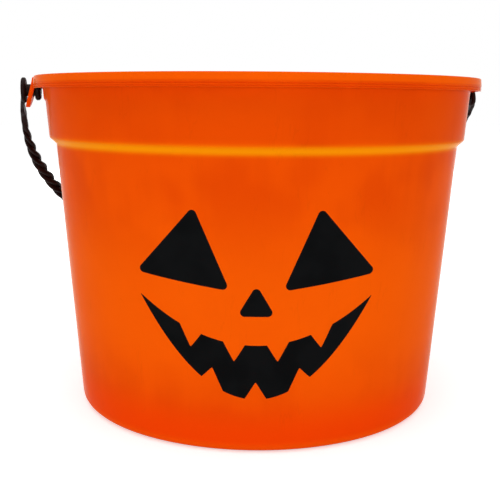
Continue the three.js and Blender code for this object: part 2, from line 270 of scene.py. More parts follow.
def join_bodies(name: str, parts: list[Body], sharp_deg: float) -> bpy.types.Object:
    """Makes one piece of several closed bodies, each turned outwards first.

    Args:
        name: Name of the piece.
        parts: Points and faces of each body.
        sharp_deg: Angle between two faces above which their edge stays sharp.

    Returns:
        The new object.
    """
    points: list[np.ndarray] = []
    faces: list[np.ndarray] = []
    start = 0
    for own_points, own_faces in parts:
        outwards = signed_volume(own_points, own_faces) > 0
        faces += [(block if outwards else block[:, ::-1]) + start for block in own_faces]
        points.append(own_points)
        start += len(own_points)
    return make_piece(name, np.vstack(points), faces, sharp_deg)


def bake_modifiers(piece: bpy.types.Object) -> None:
    """Puts the result of a piece's modifiers into its mesh and clears them.

    Args:
        piece: The piece.
    """
    bpy.context.view_layer.update()
    evaluated = piece.evaluated_get(bpy.context.evaluated_depsgraph_get())
    mesh = bpy.data.meshes.new_from_object(evaluated)
    piece.modifiers.clear()
    piece.data = mesh


def dress(piece: bpy.types.Object, material: bpy.types.Material, body: str,
          node: str) -> bpy.types.Object:
    """Gives a piece its only material, parents it to its CAD body and hides the CAD node that it replaces.

    Args:
        piece: The piece.
        material: Its only material.
        body: The CAD body that it rides on.
        node: The CAD node that it replaces.

    Returns:
        The piece.
    """
    piece.data.materials.clear()
    piece.data.materials.append(material)
    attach(piece, body)
    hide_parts(node)
    return piece


# Node tools


class NodeSheet:
    """Places nodes in one node tree and joins them."""

    ROW_LENGTH = 12
    SPACING = (220, -320)

    def __init__(self, tree: bpy.types.NodeTree) -> None:
        """Keeps the tree and starts its first row of nodes."""
        self.tree = tree
        self.placed = 0

    def node(self, kind: str, inputs: dict[Any, Any] | None = None, **settings: Any) -> bpy.types.Node:
        """Adds a node.

        Args:
            kind: Blender's type name of the node.
            inputs: A value or an output socket for each named or numbered input.
            settings: Attributes of the node, which are set before its inputs.

        Returns:
            The new node.
        """
        made = self.tree.nodes.new(kind)
        row, column = divmod(self.placed, self.ROW_LENGTH)
        made.location = (self.SPACING[0] * column, self.SPACING[1] * row)
        self.placed += 1
        for name, value in settings.items():
            setattr(made, name, value)
        for name, value in (inputs or {}).items():
            self.feed(made.inputs[name], value)
        return made

    def feed(self, socket: bpy.types.NodeSocket, value: Any) -> None:
        """Joins an output socket to an input, or gives the input a value of its own.

        Args:
            socket: The input.
            value: An output socket or a value. A colour of three numbers gets an alpha of 1.
        """
        if isinstance(value, bpy.types.NodeSocket):
            self.tree.links.new(value, socket)
        elif socket.type == "RGBA" and len(value) == 3:
            socket.default_value = (*value, 1.0)
        else:
            socket.default_value = value

    def math(self, operation: str, first: Any, second: Any = 0.0) -> bpy.types.NodeSocket:
        """Output of a Math node on two values or sockets."""
        return self.node("ShaderNodeMath", {0: first, 1: second}, operation=operation).outputs[0]

    def map_range(self, value: Any, low: Any, high: Any, to_low: Any = 0.0, to_high: Any = 1.0,
                  smooth: bool = False) -> bpy.types.NodeSocket:
        """Output of a Map Range node, held to the range's ends outside low..high.

        Args:
            value: What is mapped.
            low: Value that becomes to_low.
            high: Value that becomes to_high.
            to_low: Result at low.
            to_high: Result at high.
            smooth: Whether the result changes as 3t^2 - 2t^3 instead of evenly.

        Returns:
            The result.
        """
        return self.node("ShaderNodeMapRange", {
            "Value": value, "From Min": low, "From Max": high, "To Min": to_low, "To Max": to_high,
        }, interpolation_type="SMOOTHSTEP" if smooth else "LINEAR").outputs[0]

    def blend(self, factor: Any, first: Any, second: Any) -> bpy.types.NodeSocket:
        """Output of a colour Mix node: first where factor is 0 and second where it is 1.

        The node has sockets for numbers, vectors and colours. The colours are inputs 6 and 7 and
        output 2.

        Args:
            factor: How far the result goes over to second.
            first: The one colour.
            second: The other colour.

        Returns:
            The mixed colour.
        """
        return self.node("ShaderNodeMix", {0: factor, 6: first, 7: second}, data_type="RGBA").outputs[2]

    def noise(self, place: Any, size: Any, detail: float) -> bpy.types.NodeSocket:
        """Value of a Noise texture whose features are about the given size in metres."""
        inputs = {"Vector": place, "Scale": self.math("DIVIDE", 1.0, size), "Detail": detail}
        return self.node("ShaderNodeTexNoise", inputs).outputs[0]

    def object_place(self) -> bpy.types.NodeSocket:
        """The Object output of a Texture Coordinate node."""
        return self.node("ShaderNodeTexCoord").outputs["Object"]


def cleared_sheet(owner: bpy.types.Material | bpy.types.World) -> NodeSheet:
    """Switches on the nodes of a material or a world and takes out the ones it starts with.

    Args:
        owner: The material or the world.

    Returns:
        An empty sheet for its nodes.
    """
    owner.use_nodes = True
    owner.node_tree.nodes.clear()
    return NodeSheet(owner.node_tree)


def new_group(name: str, inputs: dict[str, Any], output: str) -> tuple[NodeSheet, Any]:
    """Starts a shader node group that reads a place and puts out one mask or height.

    Args:
        name: Name of the group.
        inputs: Default value of each input after Place: a number, or three for a vector.
        output: Name of the output.

    Returns:
        The sheet to place its nodes with, and the sockets at which its inputs arrive.
    """
    tree = bpy.data.node_groups.new(name, "ShaderNodeTree")
    tree.interface.new_socket(name="Place", in_out="INPUT", socket_type="NodeSocketVector")
    for label, value in inputs.items():
        kind = "NodeSocketVector" if isinstance(value, tuple) else "NodeSocketFloat"
        tree.interface.new_socket(name=label, in_out="INPUT", socket_type=kind).default_value = value
    tree.interface.new_socket(name=output, in_out="OUTPUT", socket_type="NodeSocketFloat")
    sheet = NodeSheet(tree)
    return sheet, sheet.node("NodeGroupInput").outputs


class Effects:
    """The effects that more than one finish uses, each a shader node group made once."""

    SPECK_CORE = 0.6            # share of a speck's radius that is fully dark
    SPECK_LEAST = 0.5           # smallest speck, as a share of the given size
    NOISE_MIDDLE = 0.5          # a rub mark follows the line where its noise has this value
    RUB_HALF_WIDTH = 0.012      # noise value at which a rub mark ends, each side of the middle
    RUB_PATCH_SCALE = 60.0      # features in a metre of the noise that breaks up the rub marks
    RUB_PATCH_EDGE = 0.1        # noise values over which a patch of rub marks fades
    FLOW_STRETCH = (1.0, 1.0, 0.05)     # heights count for little, so that flow lines run upwards
    FLOW_SCALE = 160.0          # features in a metre across the flow lines
    DRIFT_RANGE = (0.38, 0.62)  # noise values that become 0 and 1

    def __init__(self) -> None:
        """Makes every group."""
        self.skin = self.make_skin()
        self.specks = self.make_specks()
        self.rubs = self.make_rubs()
        self.drift = self.make_drift()
        self.level = self.make_level()

    def make_skin(self) -> bpy.types.NodeTree:
        """Moulded skin: a fine grain over slow unevenness, as a height from 0 to 1.

        Returns:
            The group.
        """
        sheet, enter = new_group(
            "Moulded skin", {"Grain size": 0.0006, "Wave size": 0.012, "Grain share": 0.2}, "Height")
        fine = sheet.noise(enter["Place"], enter["Grain size"], 2.0)
        slow = sheet.noise(enter["Place"], enter["Wave size"], 1.0)
        share = enter["Grain share"]
        height = sheet.math("ADD", sheet.math("MULTIPLY", fine, share),
                            sheet.math("MULTIPLY", slow, sheet.math("SUBTRACT", 1.0, share)))
        sheet.node("NodeGroupOutput", {"Height": height})
        return sheet.tree

    def make_specks(self) -> bpy.types.NodeTree:
        """Dust and pinholes: small round marks in a few cells of a Voronoi pattern.

        Returns:
            The group.
        """
        sheet, enter = new_group("Specks", {"Spacing": 0.012, "Size": 0.0003, "Share": 0.5}, "Mask")
        cells = sheet.node("ShaderNodeTexVoronoi", {
            "Vector": enter["Place"], "Randomness": 1.0,
            "Scale": sheet.math("DIVIDE", 1.0, enter["Spacing"])})
        pick = sheet.node("ShaderNodeSeparateColor", {"Color": cells.outputs["Color"]}).outputs
        reach = sheet.math("DIVIDE", enter["Size"], enter["Spacing"])
        own = sheet.math("MULTIPLY", reach, sheet.math("ADD", self.SPECK_LEAST, pick[1]))
        core = sheet.math("MULTIPLY", own, self.SPECK_CORE)
        inside = sheet.map_range(cells.outputs["Distance"], core, own, 1.0, 0.0)
        chosen = sheet.math("LESS_THAN", pick[0], enter["Share"])
        sheet.node("NodeGroupOutput", {"Mask": sheet.math("MULTIPLY", inside, chosen)})
        return sheet.tree

    def make_rubs(self) -> bpy.types.NodeTree:
        """Fine rub marks: thin lines of a stretched noise, broken up by a slower one.

        Returns:
            The group.
        """
        sheet, enter = new_group(
            "Rub marks", {"Stretch": (1.0, 1.0, 1.0), "Size": 0.002, "Cover": 0.3}, "Mask")
        pulled = sheet.node("ShaderNodeVectorMath", {0: enter["Place"], 1: enter["Stretch"]},
                            operation="MULTIPLY")
        lines = sheet.noise(pulled.outputs[0], enter["Size"], 3.0)
        off_middle = sheet.math("ABSOLUTE", sheet.math("SUBTRACT", lines, self.NOISE_MIDDLE))
        thin = sheet.map_range(off_middle, 0.0, self.RUB_HALF_WIDTH, 1.0, 0.0, smooth=True)
        patches = sheet.node("ShaderNodeTexNoise", {
            "Vector": enter["Place"], "Scale": self.RUB_PATCH_SCALE, "Detail": 1.0})
        edge = sheet.math("SUBTRACT", 1.0, enter["Cover"])
        where = sheet.map_range(patches.outputs[0], sheet.math("SUBTRACT", edge, self.RUB_PATCH_EDGE), edge)
        sheet.node("NodeGroupOutput", {"Mask": sheet.math("MULTIPLY", thin, where)})
        return sheet.tree

    def make_drift(self) -> bpy.types.NodeTree:
        """Slow drift of the colour: cloudy patches crossed by flow lines that run up the wall.

        Returns:
            The group.
        """
        sheet, enter = new_group("Colour drift", {"Patch size": 0.04, "Flow lines": 0.4}, "Mask")
        clouds = sheet.noise(enter["Place"], enter["Patch size"], 2.0)
        upright = sheet.node("ShaderNodeVectorMath", {0: enter["Place"], 1: self.FLOW_STRETCH},
                             operation="MULTIPLY")
        lines = sheet.node("ShaderNodeTexNoise", {
            "Vector": upright.outputs[0], "Scale": self.FLOW_SCALE, "Detail": 3.0})
        share = enter["Flow lines"]
        mask = sheet.math("ADD", sheet.math("MULTIPLY", clouds, sheet.math("SUBTRACT", 1.0, share)),
                          sheet.math("MULTIPLY", lines.outputs[0], share))
        sheet.node("NodeGroupOutput", {"Mask": sheet.map_range(mask, *self.DRIFT_RANGE, smooth=True)})
        return sheet.tree

    def make_level(self) -> bpy.types.NodeTree:
        """A level band: 1 between two heights, falling to 0 over a fade below and a fade above.

        Returns:
            The group.
        """
        sheet, enter = new_group(
            "Level band", {"Low": 0.0, "High": 0.01, "Fade below": 0.001, "Fade above": 0.001}, "Mask")
        height = sheet.node("ShaderNodeSeparateXYZ", {0: enter["Place"]}).outputs[2]
        low, high = enter["Low"], enter["High"]
        start = sheet.math("SUBTRACT", low, enter["Fade below"])
        end = sheet.math("ADD", high, enter["Fade above"])
        rise = sheet.map_range(height, start, low, smooth=True)
        fall = sheet.map_range(height, high, end, 1.0, 0.0, smooth=True)
        sheet.node("NodeGroupOutput", {"Mask": sheet.math("MULTIPLY", rise, fall)})
        return sheet.tree


# Finishes


@dataclass(frozen=True)
class Drift:
    """Colour drift: the size of its patches in metres, and the share of flow lines in it."""

    patch_size: float
    flow_lines: float


@dataclass(frozen=True)
class Rubs:
    """Rub marks: the stretch of the place, the size of their pattern in metres, and their cover."""

    stretch: Triple
    size: float
    cover: float


@dataclass(frozen=True)
class Specks:
    """Specks: spacing and size in metres, and the share of places that hold one."""

    spacing: float
    size: float
    share: float


@dataclass(frozen=True)
class Skin:
    """Moulded skin: sizes of its grain and waves in metres, and how strongly it shows as a bump."""

    grain_size: float
    wave_size: float
    grain_share: float
    strength: float
    depth: float


@dataclass(frozen=True)
class Level:
    """A level band between two heights, with a fade below and above it, in metres."""

    low: float
    high: float
    fade_below: float
    fade_above: float


class Surface:
    """A material in the making: its nodes, its Principled shader and the place on the object."""

    def __init__(self, name: str, effects: Effects) -> None:
        """Starts a material with only the shader and its output.

        Args:
            name: Name of the material.
            effects: The shared effects.
        """
        self.material = bpy.data.materials.new(name)
        self.effects = effects
        self.sheet = cleared_sheet(self.material)
        self.shader = self.sheet.node("ShaderNodeBsdfPrincipled")
        self.sheet.node("ShaderNodeOutputMaterial", {"Surface": self.shader.outputs[0]})
        self.place = self.sheet.object_place()

    def effect(self, group: bpy.types.NodeTree, inputs: dict[str, Any]) -> bpy.types.NodeSocket:
        """Output of a shared effect, placed with this material's own values."""
        placed = self.sheet.node("ShaderNodeGroup", {"Place": self.place, **inputs}, node_tree=group)
        return placed.outputs[0]

    def drift(self, drift: Drift) -> bpy.types.NodeSocket:
        """Mask of a colour drift."""
        return self.effect(self.effects.drift, {
            "Patch size": drift.patch_size, "Flow lines": drift.flow_lines})

    def rubs(self, rubs: Rubs) -> bpy.types.NodeSocket:
        """Mask of rub marks."""
        return self.effect(self.effects.rubs, {
            "Stretch": rubs.stretch, "Size": rubs.size, "Cover": rubs.cover})

    def specks(self, specks: Specks) -> bpy.types.NodeSocket:
        """Mask of specks."""
        return self.effect(self.effects.specks, {
            "Spacing": specks.spacing, "Size": specks.size, "Share": specks.share})

    def level(self, level: Level) -> bpy.types.NodeSocket:
        """Mask of a level band."""
        return self.effect(self.effects.level, {
            "Low": level.low, "High": level.high,
            "Fade below": level.fade_below, "Fade above": level.fade_above})

    def scaled(self, mask: bpy.types.NodeSocket, share: Any) -> bpy.types.NodeSocket:
        """A mask times a share, which is a number or another socket."""
        return self.sheet.math("MULTIPLY", mask, share)

    def finish(self, colour: bpy.types.NodeSocket, roughness: bpy.types.NodeSocket, skin: Skin,
               uniform: dict[str, Any]) -> bpy.types.Material:
        """Joins the shader's inputs and gives the uniform ones their values.

        Args:
            colour: The base colour.
            roughness: The roughness.
            skin: The moulded skin, which becomes a bump.
            uniform: Value of each other input of the shader.

        Returns:
            The finished material.
        """
        height = self.effect(self.effects.skin, {
            "Grain size": skin.grain_size, "Wave size": skin.wave_size, "Grain share": skin.grain_share})
        bump = self.sheet.node("ShaderNodeBump", {
            "Height": height, "Strength": skin.strength, "Distance": skin.depth})
        joined = {"Base Color": colour, "Roughness": roughness, "Normal": bump.outputs[0]}
        for name, value in {**joined, **uniform}.items():
            self.sheet.feed(self.shader.inputs[name], value)
        return self.material


@dataclass(frozen=True)
class OrangePlastic:
    """Orange plastic, coloured all through and shaped in a polished mould.

    The level bands are painted light and shade. The ledge and the base's bottom line are painted lighter,
    standing in for light from a white table below and through the wall, and the ledge's inner face takes a
    smaller share of it. The rim's top zone is a painted highlight, the middle of the wall a broad painted
    sheen, the upper band under the rim painted shade, and the bottom of the wall a redder painted shade. A
    band's share says how far the colour goes over to it. The ledge's foot and top are each a radius and a
    height, and these and the wall depths are in metres.
    """

    colour: Triple = (0.91, 0.087, 0.0008)
    # darker random tone of the colour drift, and the painted shade of the upper band under the rim
    deep_tone_and_shade_colour: Triple = (0.82, 0.067, 0.0006)
    # painted light: the ledge's lighter, yellower colour stands in for light from a white table below and
    # through the wall
    ledge_painted_light_colour: Triple = (1.0, 0.335, 0.001)
    # painted highlight on the rim's top zone, and painted light on the base's bottom line
    rim_and_base_painted_light_colour: Triple = (0.97, 0.115, 0.001)
    # painted sheen: a broad lighter, yellower band across the middle of the wall
    painted_sheen_colour: Triple = (0.98, 0.118, 0.0012)
    # painted shade: a redder, darker tone at the bottom of the wall
    bottom_shade_colour: Triple = (0.93, 0.06, 0.0006)
    mark_colour: Triple = (0.24, 0.012, 0.001)
    # painted sheen band across the middle of the wall
    painted_sheen_band: Level = Level(0.045, 0.06, 0.035, 0.045)
    painted_sheen_share: float = 0.8
    # painted shade band at the bottom of the wall
    low: Level = Level(-0.001, 0.006, 0.001, 0.018)
    bottom_shade_share: float = 1.0
    # painted shade band on the upper band under the rim
    band: Level = Level(0.118, 0.136, 0.003, 0.002)
    band_shade_share: float = 0.6
    # painted highlight band over the rim's top zone
    crown: Level = Level(0.1377, 0.15, 0.0006, 0.001)
    rim_highlight_share: float = 0.75
    # painted light band along the base's bottom line
    foot: Level = Level(-0.001, 0.0012, 0.001, 0.004)
    base_line_light_share: float = 0.7
    ledge: Level = Level(0.1134, 0.1136, 0.0034, 0.0033)
    ledge_narrowing: float = 1.8
    ledge_foot: tuple[float, float] = (0.08645, 0.1124)
    ledge_top: tuple[float, float] = (0.08915, 0.11485)
    wall_depths: tuple[float, float] = (0.0005, 0.0009)
    # share of the ledge's painted light on its inner face
    inner_ledge_light_share: float = 0.3
    drift: Drift = Drift(0.03, 0.16)
    rubs: Rubs = Rubs((1.0, 1.0, 0.12), 0.006, 0.38)
    rub_share: float = 0.05
    specks: Specks = Specks(0.019, 0.00042, 0.3)
    speck_share: float = 0.85
    skin: Skin = Skin(0.0009, 0.022, 0.03, 0.35, 0.0006)
    smoothness: float = 0.14
    rubbed_roughness: float = 0.12
    foot_roughness: float = 0.25
    shine_level: float = 0.002
    bending: float = 1.5
    haze_weight: float = 0.24
    haze_spread: float = 0.35
    haze_colour: Triple = (0.7, 0.52, 0.14)

    def outside(self, surface: Surface) -> bpy.types.NodeSocket:
        """Share of the ledge's painted light: 1 on the outer face near the ledge and the inner face's share
        on the inner one.

        The outer face's radius there runs from the ledge's foot to its top. A point lies on the inner
        face if it is further inside that radius than the wall depths.

        Args:
            surface: The material in the making.

        Returns:
            The share.
        """
        sheet = surface.sheet
        split = sheet.node("ShaderNodeSeparateXYZ", {0: surface.place}).outputs
        flat = sheet.node("ShaderNodeCombineXYZ", {0: split[0], 1: split[1]})
        radius = sheet.node("ShaderNodeVectorMath", {0: flat.outputs[0]}, operation="LENGTH")
        outer = sheet.map_range(split[2], self.ledge_foot[1], self.ledge_top[1],
                                self.ledge_foot[0], self.ledge_top[0])
        depth = sheet.math("SUBTRACT", outer, radius.outputs["Value"])
        return sheet.map_range(depth, *self.wall_depths, 1.0, self.inner_ledge_light_share, smooth=True)

    def material(self, effects: Effects) -> bpy.types.Material:
        """Builds the material from the shared effects.

        Args:
            effects: The shared effects.

        Returns:
            The material.
        """
        surface = Surface("orange plastic", effects)
        sheet = surface.sheet
        rubs, foot = surface.rubs(self.rubs), surface.level(self.foot)
        ledge = sheet.math("POWER", surface.level(self.ledge), self.ledge_narrowing)
        base = sheet.blend(surface.drift(self.drift), self.deep_tone_and_shade_colour, self.colour)
        # The level bands below are painted light and shade; the rub marks and specks are real marks.
        for mask, share, colour in (
                # painted sheen across the middle of the wall
                (surface.level(self.painted_sheen_band), self.painted_sheen_share, self.painted_sheen_colour),
                # painted shade at the bottom of the wall
                (surface.level(self.low), self.bottom_shade_share, self.bottom_shade_colour),
                # painted shade: the upper band under the rim darker
                (surface.level(self.band), self.band_shade_share, self.deep_tone_and_shade_colour),
                # painted highlight: the rim's top zone lighter
                (surface.level(self.crown), self.rim_highlight_share, self.rim_and_base_painted_light_colour),
                # painted light: the base's bottom line lighter, as if lit from the table
                (foot, self.base_line_light_share, self.rim_and_base_painted_light_colour),
                # painted light on the ledge, less on its inner face
                (ledge, self.outside(surface), self.ledge_painted_light_colour),
                (rubs, self.rub_share, self.mark_colour),
                (surface.specks(self.specks), self.speck_share, self.mark_colour)):
            base = sheet.blend(surface.scaled(mask, share), base, colour)
        rough = sheet.math("ADD", self.smoothness, surface.scaled(rubs, self.rubbed_roughness))
        rough = sheet.math("ADD", rough, surface.scaled(foot, self.foot_roughness))
        return surface.finish(base, rough, self.skin, {
            "IOR": self.bending, "Specular IOR Level": self.shine_level, "Sheen Weight": self.haze_weight,
            "Sheen Roughness": self.haze_spread, "Sheen Tint": self.haze_colour})


@dataclass(frozen=True)
class BlackPlastic:
    """Satin black plastic with a brown cast, shaped in a finely sparked mould."""

    colour: Triple = (0.0085, 0.0035, 0.003)
    worn_colour: Triple = (0.026, 0.013, 0.011)
    drift: Drift = Drift(0.01, 0.2)
    drift_share: float = 0.45
    rubs: Rubs = Rubs((1.0, 1.0, 1.0), 0.003, 0.5)
    rub_share: float = 0.5
    skin: Skin = Skin(0.0004, 0.004, 0.35, 0.4, 0.0002)
    smoothness: float = 0.34
    drift_roughness: float = 0.14
    shine_level: float = 0.05
    bending: float = 1.48

    def material(self, effects: Effects) -> bpy.types.Material:
        """Builds the material from the shared effects.

        Args:
            effects: The shared effects.

        Returns:
            The material.
        """
        surface = Surface("black plastic", effects)
        sheet, drift = surface.sheet, surface.drift(self.drift)
        base = sheet.blend(surface.scaled(drift, self.drift_share), self.colour, self.worn_colour)
        worn = sheet.blend(surface.scaled(surface.rubs(self.rubs), self.rub_share), base, self.worn_colour)
        rough = sheet.math("ADD", self.smoothness, surface.scaled(drift, self.drift_roughness))
        return surface.finish(worn, rough, self.skin, {
            "IOR": self.bending, "Specular IOR Level": self.shine_level})


@dataclass(frozen=True)
class BlackInk:
    """Flat black ink, printed through a screen, with a few pinholes that show the orange."""

    colour: Triple = (0.0024, 0.0027, 0.003)
    thin_colour: Triple = (0.0042, 0.0046, 0.005)
    pinhole_colour: Triple = (0.4, 0.035, 0.001)
    drift: Drift = Drift(0.012, 0.1)
    pinholes: Specks = Specks(0.008, 0.00018, 0.14)
    skin: Skin = Skin(0.00035, 0.005, 0.6, 0.3, 0.00008)
    smoothness: float = 0.5
    drift_roughness: float = 0.12
    shine_level: float = 0.02

    def material(self, effects: Effects) -> bpy.types.Material:
        """Builds the material from the shared effects.

        Args:
            effects: The shared effects.

        Returns:
            The material.
        """
        surface = Surface("black ink", effects)
        sheet, drift = surface.sheet, surface.drift(self.drift)
        base = sheet.blend(drift, self.colour, self.thin_colour)
        pitted = sheet.blend(surface.specks(self.pinholes), base, self.pinhole_colour)
        rough = sheet.math("ADD", self.smoothness, surface.scaled(drift, self.drift_roughness))
        return surface.finish(pitted, rough, self.skin, {"Specular IOR Level": self.shine_level})


# The pail


@dataclass
class Pail:
    """The pail: recessed base, flared wall, ledge, upper band, turned-down rim, ears and pads.

    Sizes are in millimetres. A rounding is the radius of an arc at a corner of the half section.
    """

    height: float = 140.0
    rim_radius: float = 95.0
    wall: float = 1.4
    band_top_radius: float = 91.0
    band_foot_radius: float = 89.15
    band_foot_height: float = 114.85
    ledge_foot_radius: float = 86.45
    ledge_foot_height: float = 112.4
    base_cone_radius: float = 77.75
    ledge_foot_rounding: float = 1.8
    band_foot_rounding: float = 1.0
    base_rounding: float = 4.2
    foot_recess: float = 1.6
    foot_inner: float = 66.15
    foot_slope: float = 1.0
    foot_roundings: tuple[float, float] = (0.6, 0.4)
    rim_top_thickness: float = 1.2
    skirt_thickness: float = 1.2
    skirt_drop: float = 5.0
    soffit_roundings: tuple[float, float] = (0.4, 0.3)
    skirt_roundings: tuple[float, float] = (0.25, 0.3)
    crown_lean: float = 0.22
    crown_height: float = 2.7
    crown_roundings: Triple = (1.5, 0.55, 0.6)
    line_rises: tuple[float, float] = (0.5, 1.35)
    line_width: float = 0.5
    line_depth: float = 0.4
    line_rounding: float = 0.08
    gate_radius: float = 1.1
    gate_height: float = 0.7
    gate_slope: float = 0.2
    gate_ring_radius: float = 9.0
    gate_ring_half_width: float = 0.5
    gate_ring_depth: float = 0.25
    gate_roundings: tuple[float, float] = (0.2, 0.1)
    ear_half_width: float = 4.8
    ear_end_reach: float = 7.1
    ear_thickness: float = 1.8
    ear_top_drop: float = 0.5
    ear_bulge: float = 0.35
    ear_leans: tuple[float, float] = (0.22, 0.05)
    ear_curl: float = 0.004
    ear_edge_rounding: float = 0.32
    ear_root_radius: float = 94.9
    ear_root_gap: float = 0.3
    ear_points: int = 160
    ear_face_steps: int = 9
    ear_edge_steps: int = 5
    pivot_drop: float = 5.8
    hole_radius: float = 2.9
    hole_rounding: float = 0.2
    pad_half_width: float = 6.5
    pad_height: float = 10.4
    pad_margin: float = 0.6
    pad_proud: float = 0.6
    pad_chamfer: float = 1.2
    pad_side_fade: float = 0.35
    pocket_radius: float = 4.55
    pocket_fade: float = 0.3
    pocket_floor: float = 94.825
    soffit_reach: float = 0.45
    skirt_reach: float = 0.02
    skirt_depth: float = 1.6
    arc_step: float = 0.35
    fine_spacing: float = 0.4
    fine_margin: float = 2.0
    side_margin: float = 0.1
    wide_spacing: float = 7.0
    near_ear_deg: float = 8.0
    near_ear_step_deg: float = 0.25
    wall_step_deg: float = 2.0
    sharp_deg: float = 38.0

    @property
    def wall_slope(self) -> float:
        """How much the lower wall's radius grows for each millimetre of height."""
        return (self.ledge_foot_radius - self.base_cone_radius) / self.ledge_foot_height

    @property
    def pivot_height(self) -> float:
        """Height of the line through both ear holes."""
        return self.height - self.pivot_drop

    @property
    def soffit(self) -> float:
        """Height of the underside of the rim's top."""
        return self.height - self.rim_top_thickness

    def wall_radius(self, height: np.ndarray | float) -> np.ndarray | float:
        """Outer radius of the lower wall at a height: the cone's radius at the table + slope * height."""
        return self.base_cone_radius + self.wall_slope * height

    def band_radius(self, height: float) -> float:
        """Outer radius of the upper band at a height, on the straight line from its foot to its top."""
        share = (height - self.band_foot_height) / (self.soffit - self.band_foot_height)
        return self.band_foot_radius + (self.band_top_radius - self.band_foot_radius) * share

    def ear_radius(self, drop: np.ndarray | float, side: Side) -> np.ndarray | float:
        """Outer radius of an ear at a depth below the rim's top: rim + bulge + lean d + curl d^2."""
        lean = self.ear_leans[0 if side is Side.LEFT else 1]
        return self.rim_radius + self.ear_bulge + lean * drop + self.ear_curl * drop * drop

    def underside(self) -> list[tuple[float, ...]]:
        """Corners of the half section under the base, from the gate mark out to the foot ring.

        Returns:
            Each corner as (radius, height) or (radius, height, rounding).
        """
        recess, ring, half = self.foot_recess, self.gate_ring_radius, self.gate_ring_half_width
        mark_rounding, fine_rounding = self.gate_roundings
        slope_rounding, inner_rounding = self.foot_roundings
        return [
            (0.0, recess - self.gate_height), (self.gate_radius, recess - self.gate_height, mark_rounding),
            (self.gate_radius + self.gate_slope, recess, fine_rounding),
            (ring - half, recess, fine_rounding), (ring, recess + self.gate_ring_depth, fine_rounding),
            (ring + half, recess, fine_rounding),
            (self.foot_inner - self.foot_slope, recess, slope_rounding),
            (self.foot_inner, 0.0, inner_rounding),
        ]

    def outside(self) -> list[tuple[float, ...]]:
        """Corners of the half section up the outer wall, under the rim and up its skirt.

        Returns:
            Each corner as (radius, height) or (radius, height, rounding).
        """
        skirt_foot = self.height - self.skirt_drop
        skirt_inner = self.rim_radius - self.skirt_thickness
        pad_foot = self.height - self.pad_height - self.pad_margin
        half = self.line_width / 2
        lines = [
            (self.rim_radius - depth, skirt_foot + rise + shift, self.line_rounding)
            for rise in self.line_rises
            for depth, shift in ((0.0, -half), (self.line_depth, 0.0), (0.0, half))]
        return [
            (self.base_cone_radius, 0.0, self.base_rounding),
            (self.ledge_foot_radius, self.ledge_foot_height, self.ledge_foot_rounding),
            (self.band_foot_radius, self.band_foot_height, self.band_foot_rounding),
            (self.band_radius(pad_foot), pad_foot),
            (self.band_top_radius, self.soffit, self.soffit_roundings[0]),
            (skirt_inner, self.soffit, self.soffit_roundings[1]),
            (skirt_inner, skirt_foot, self.skirt_roundings[0]),
            (self.rim_radius, skirt_foot, self.skirt_roundings[1]), *lines,
        ]

    def inside(self) -> list[tuple[float, ...]]:
        """Corners of the half section over the crown and down the inner wall, a wall's thickness in.

        Returns:
            Each corner as (radius, height) or (radius, height, rounding).
        """
        wall, floor = self.wall, self.foot_recess + self.wall
        ledge_angle = math.atan2(self.band_foot_height - self.ledge_foot_height,
                                 self.band_foot_radius - self.ledge_foot_radius)
        lift = wall * (1 - math.sin(ledge_angle)) / math.cos(ledge_angle)
        foot_rounding, crown_rounding, inner_rounding = self.crown_roundings
        return [
            (self.rim_radius, self.height - self.crown_height, foot_rounding),
            (self.rim_radius - self.crown_lean, self.height, crown_rounding),
            (self.band_top_radius - wall, self.height, inner_rounding),
            (self.band_foot_radius - wall, self.band_foot_height + lift, self.ledge_foot_rounding),
            (self.ledge_foot_radius - wall, self.ledge_foot_height + lift, self.band_foot_rounding),
            (self.base_cone_radius - wall + self.wall_slope * floor, floor, self.base_rounding - wall),
            (0.0, floor),
        ]

    def profile(self) -> np.ndarray:
        """Half section of the pail, with short steps where the pads and the pockets are raised and sunk.

        Returns:
            The points from the underside's middle, up the outside, over the rim and down the inside.
        """
        corners = self.underside() + self.outside() + self.inside()
        outline = rounded_outline(corners, closed=False, arc_step=self.arc_step)
        middles = (outline[1:] + outline[:-1]) / 2
        outer_side = middles[:, 0] > self.band_top_radius - self.wall + self.side_margin
        fine = outer_side & (middles[:, 1] > self.height - self.pad_height - self.fine_margin)
        return refined(outline, np.where(fine, self.fine_spacing, self.wide_spacing))

    def angles(self) -> np.ndarray:
        """Angles round the pail, close together near the ears and wider elsewhere.

        Returns:
            The angles in radians, from the right ear's near side on.
        """
        near, fine, wide = self.near_ear_deg, self.near_ear_step_deg, self.wall_step_deg
        half = np.concatenate([np.arange(-near, near, fine), np.arange(near, 180 - near, wide)])
        return np.radians(np.concatenate([half, half + 180]))

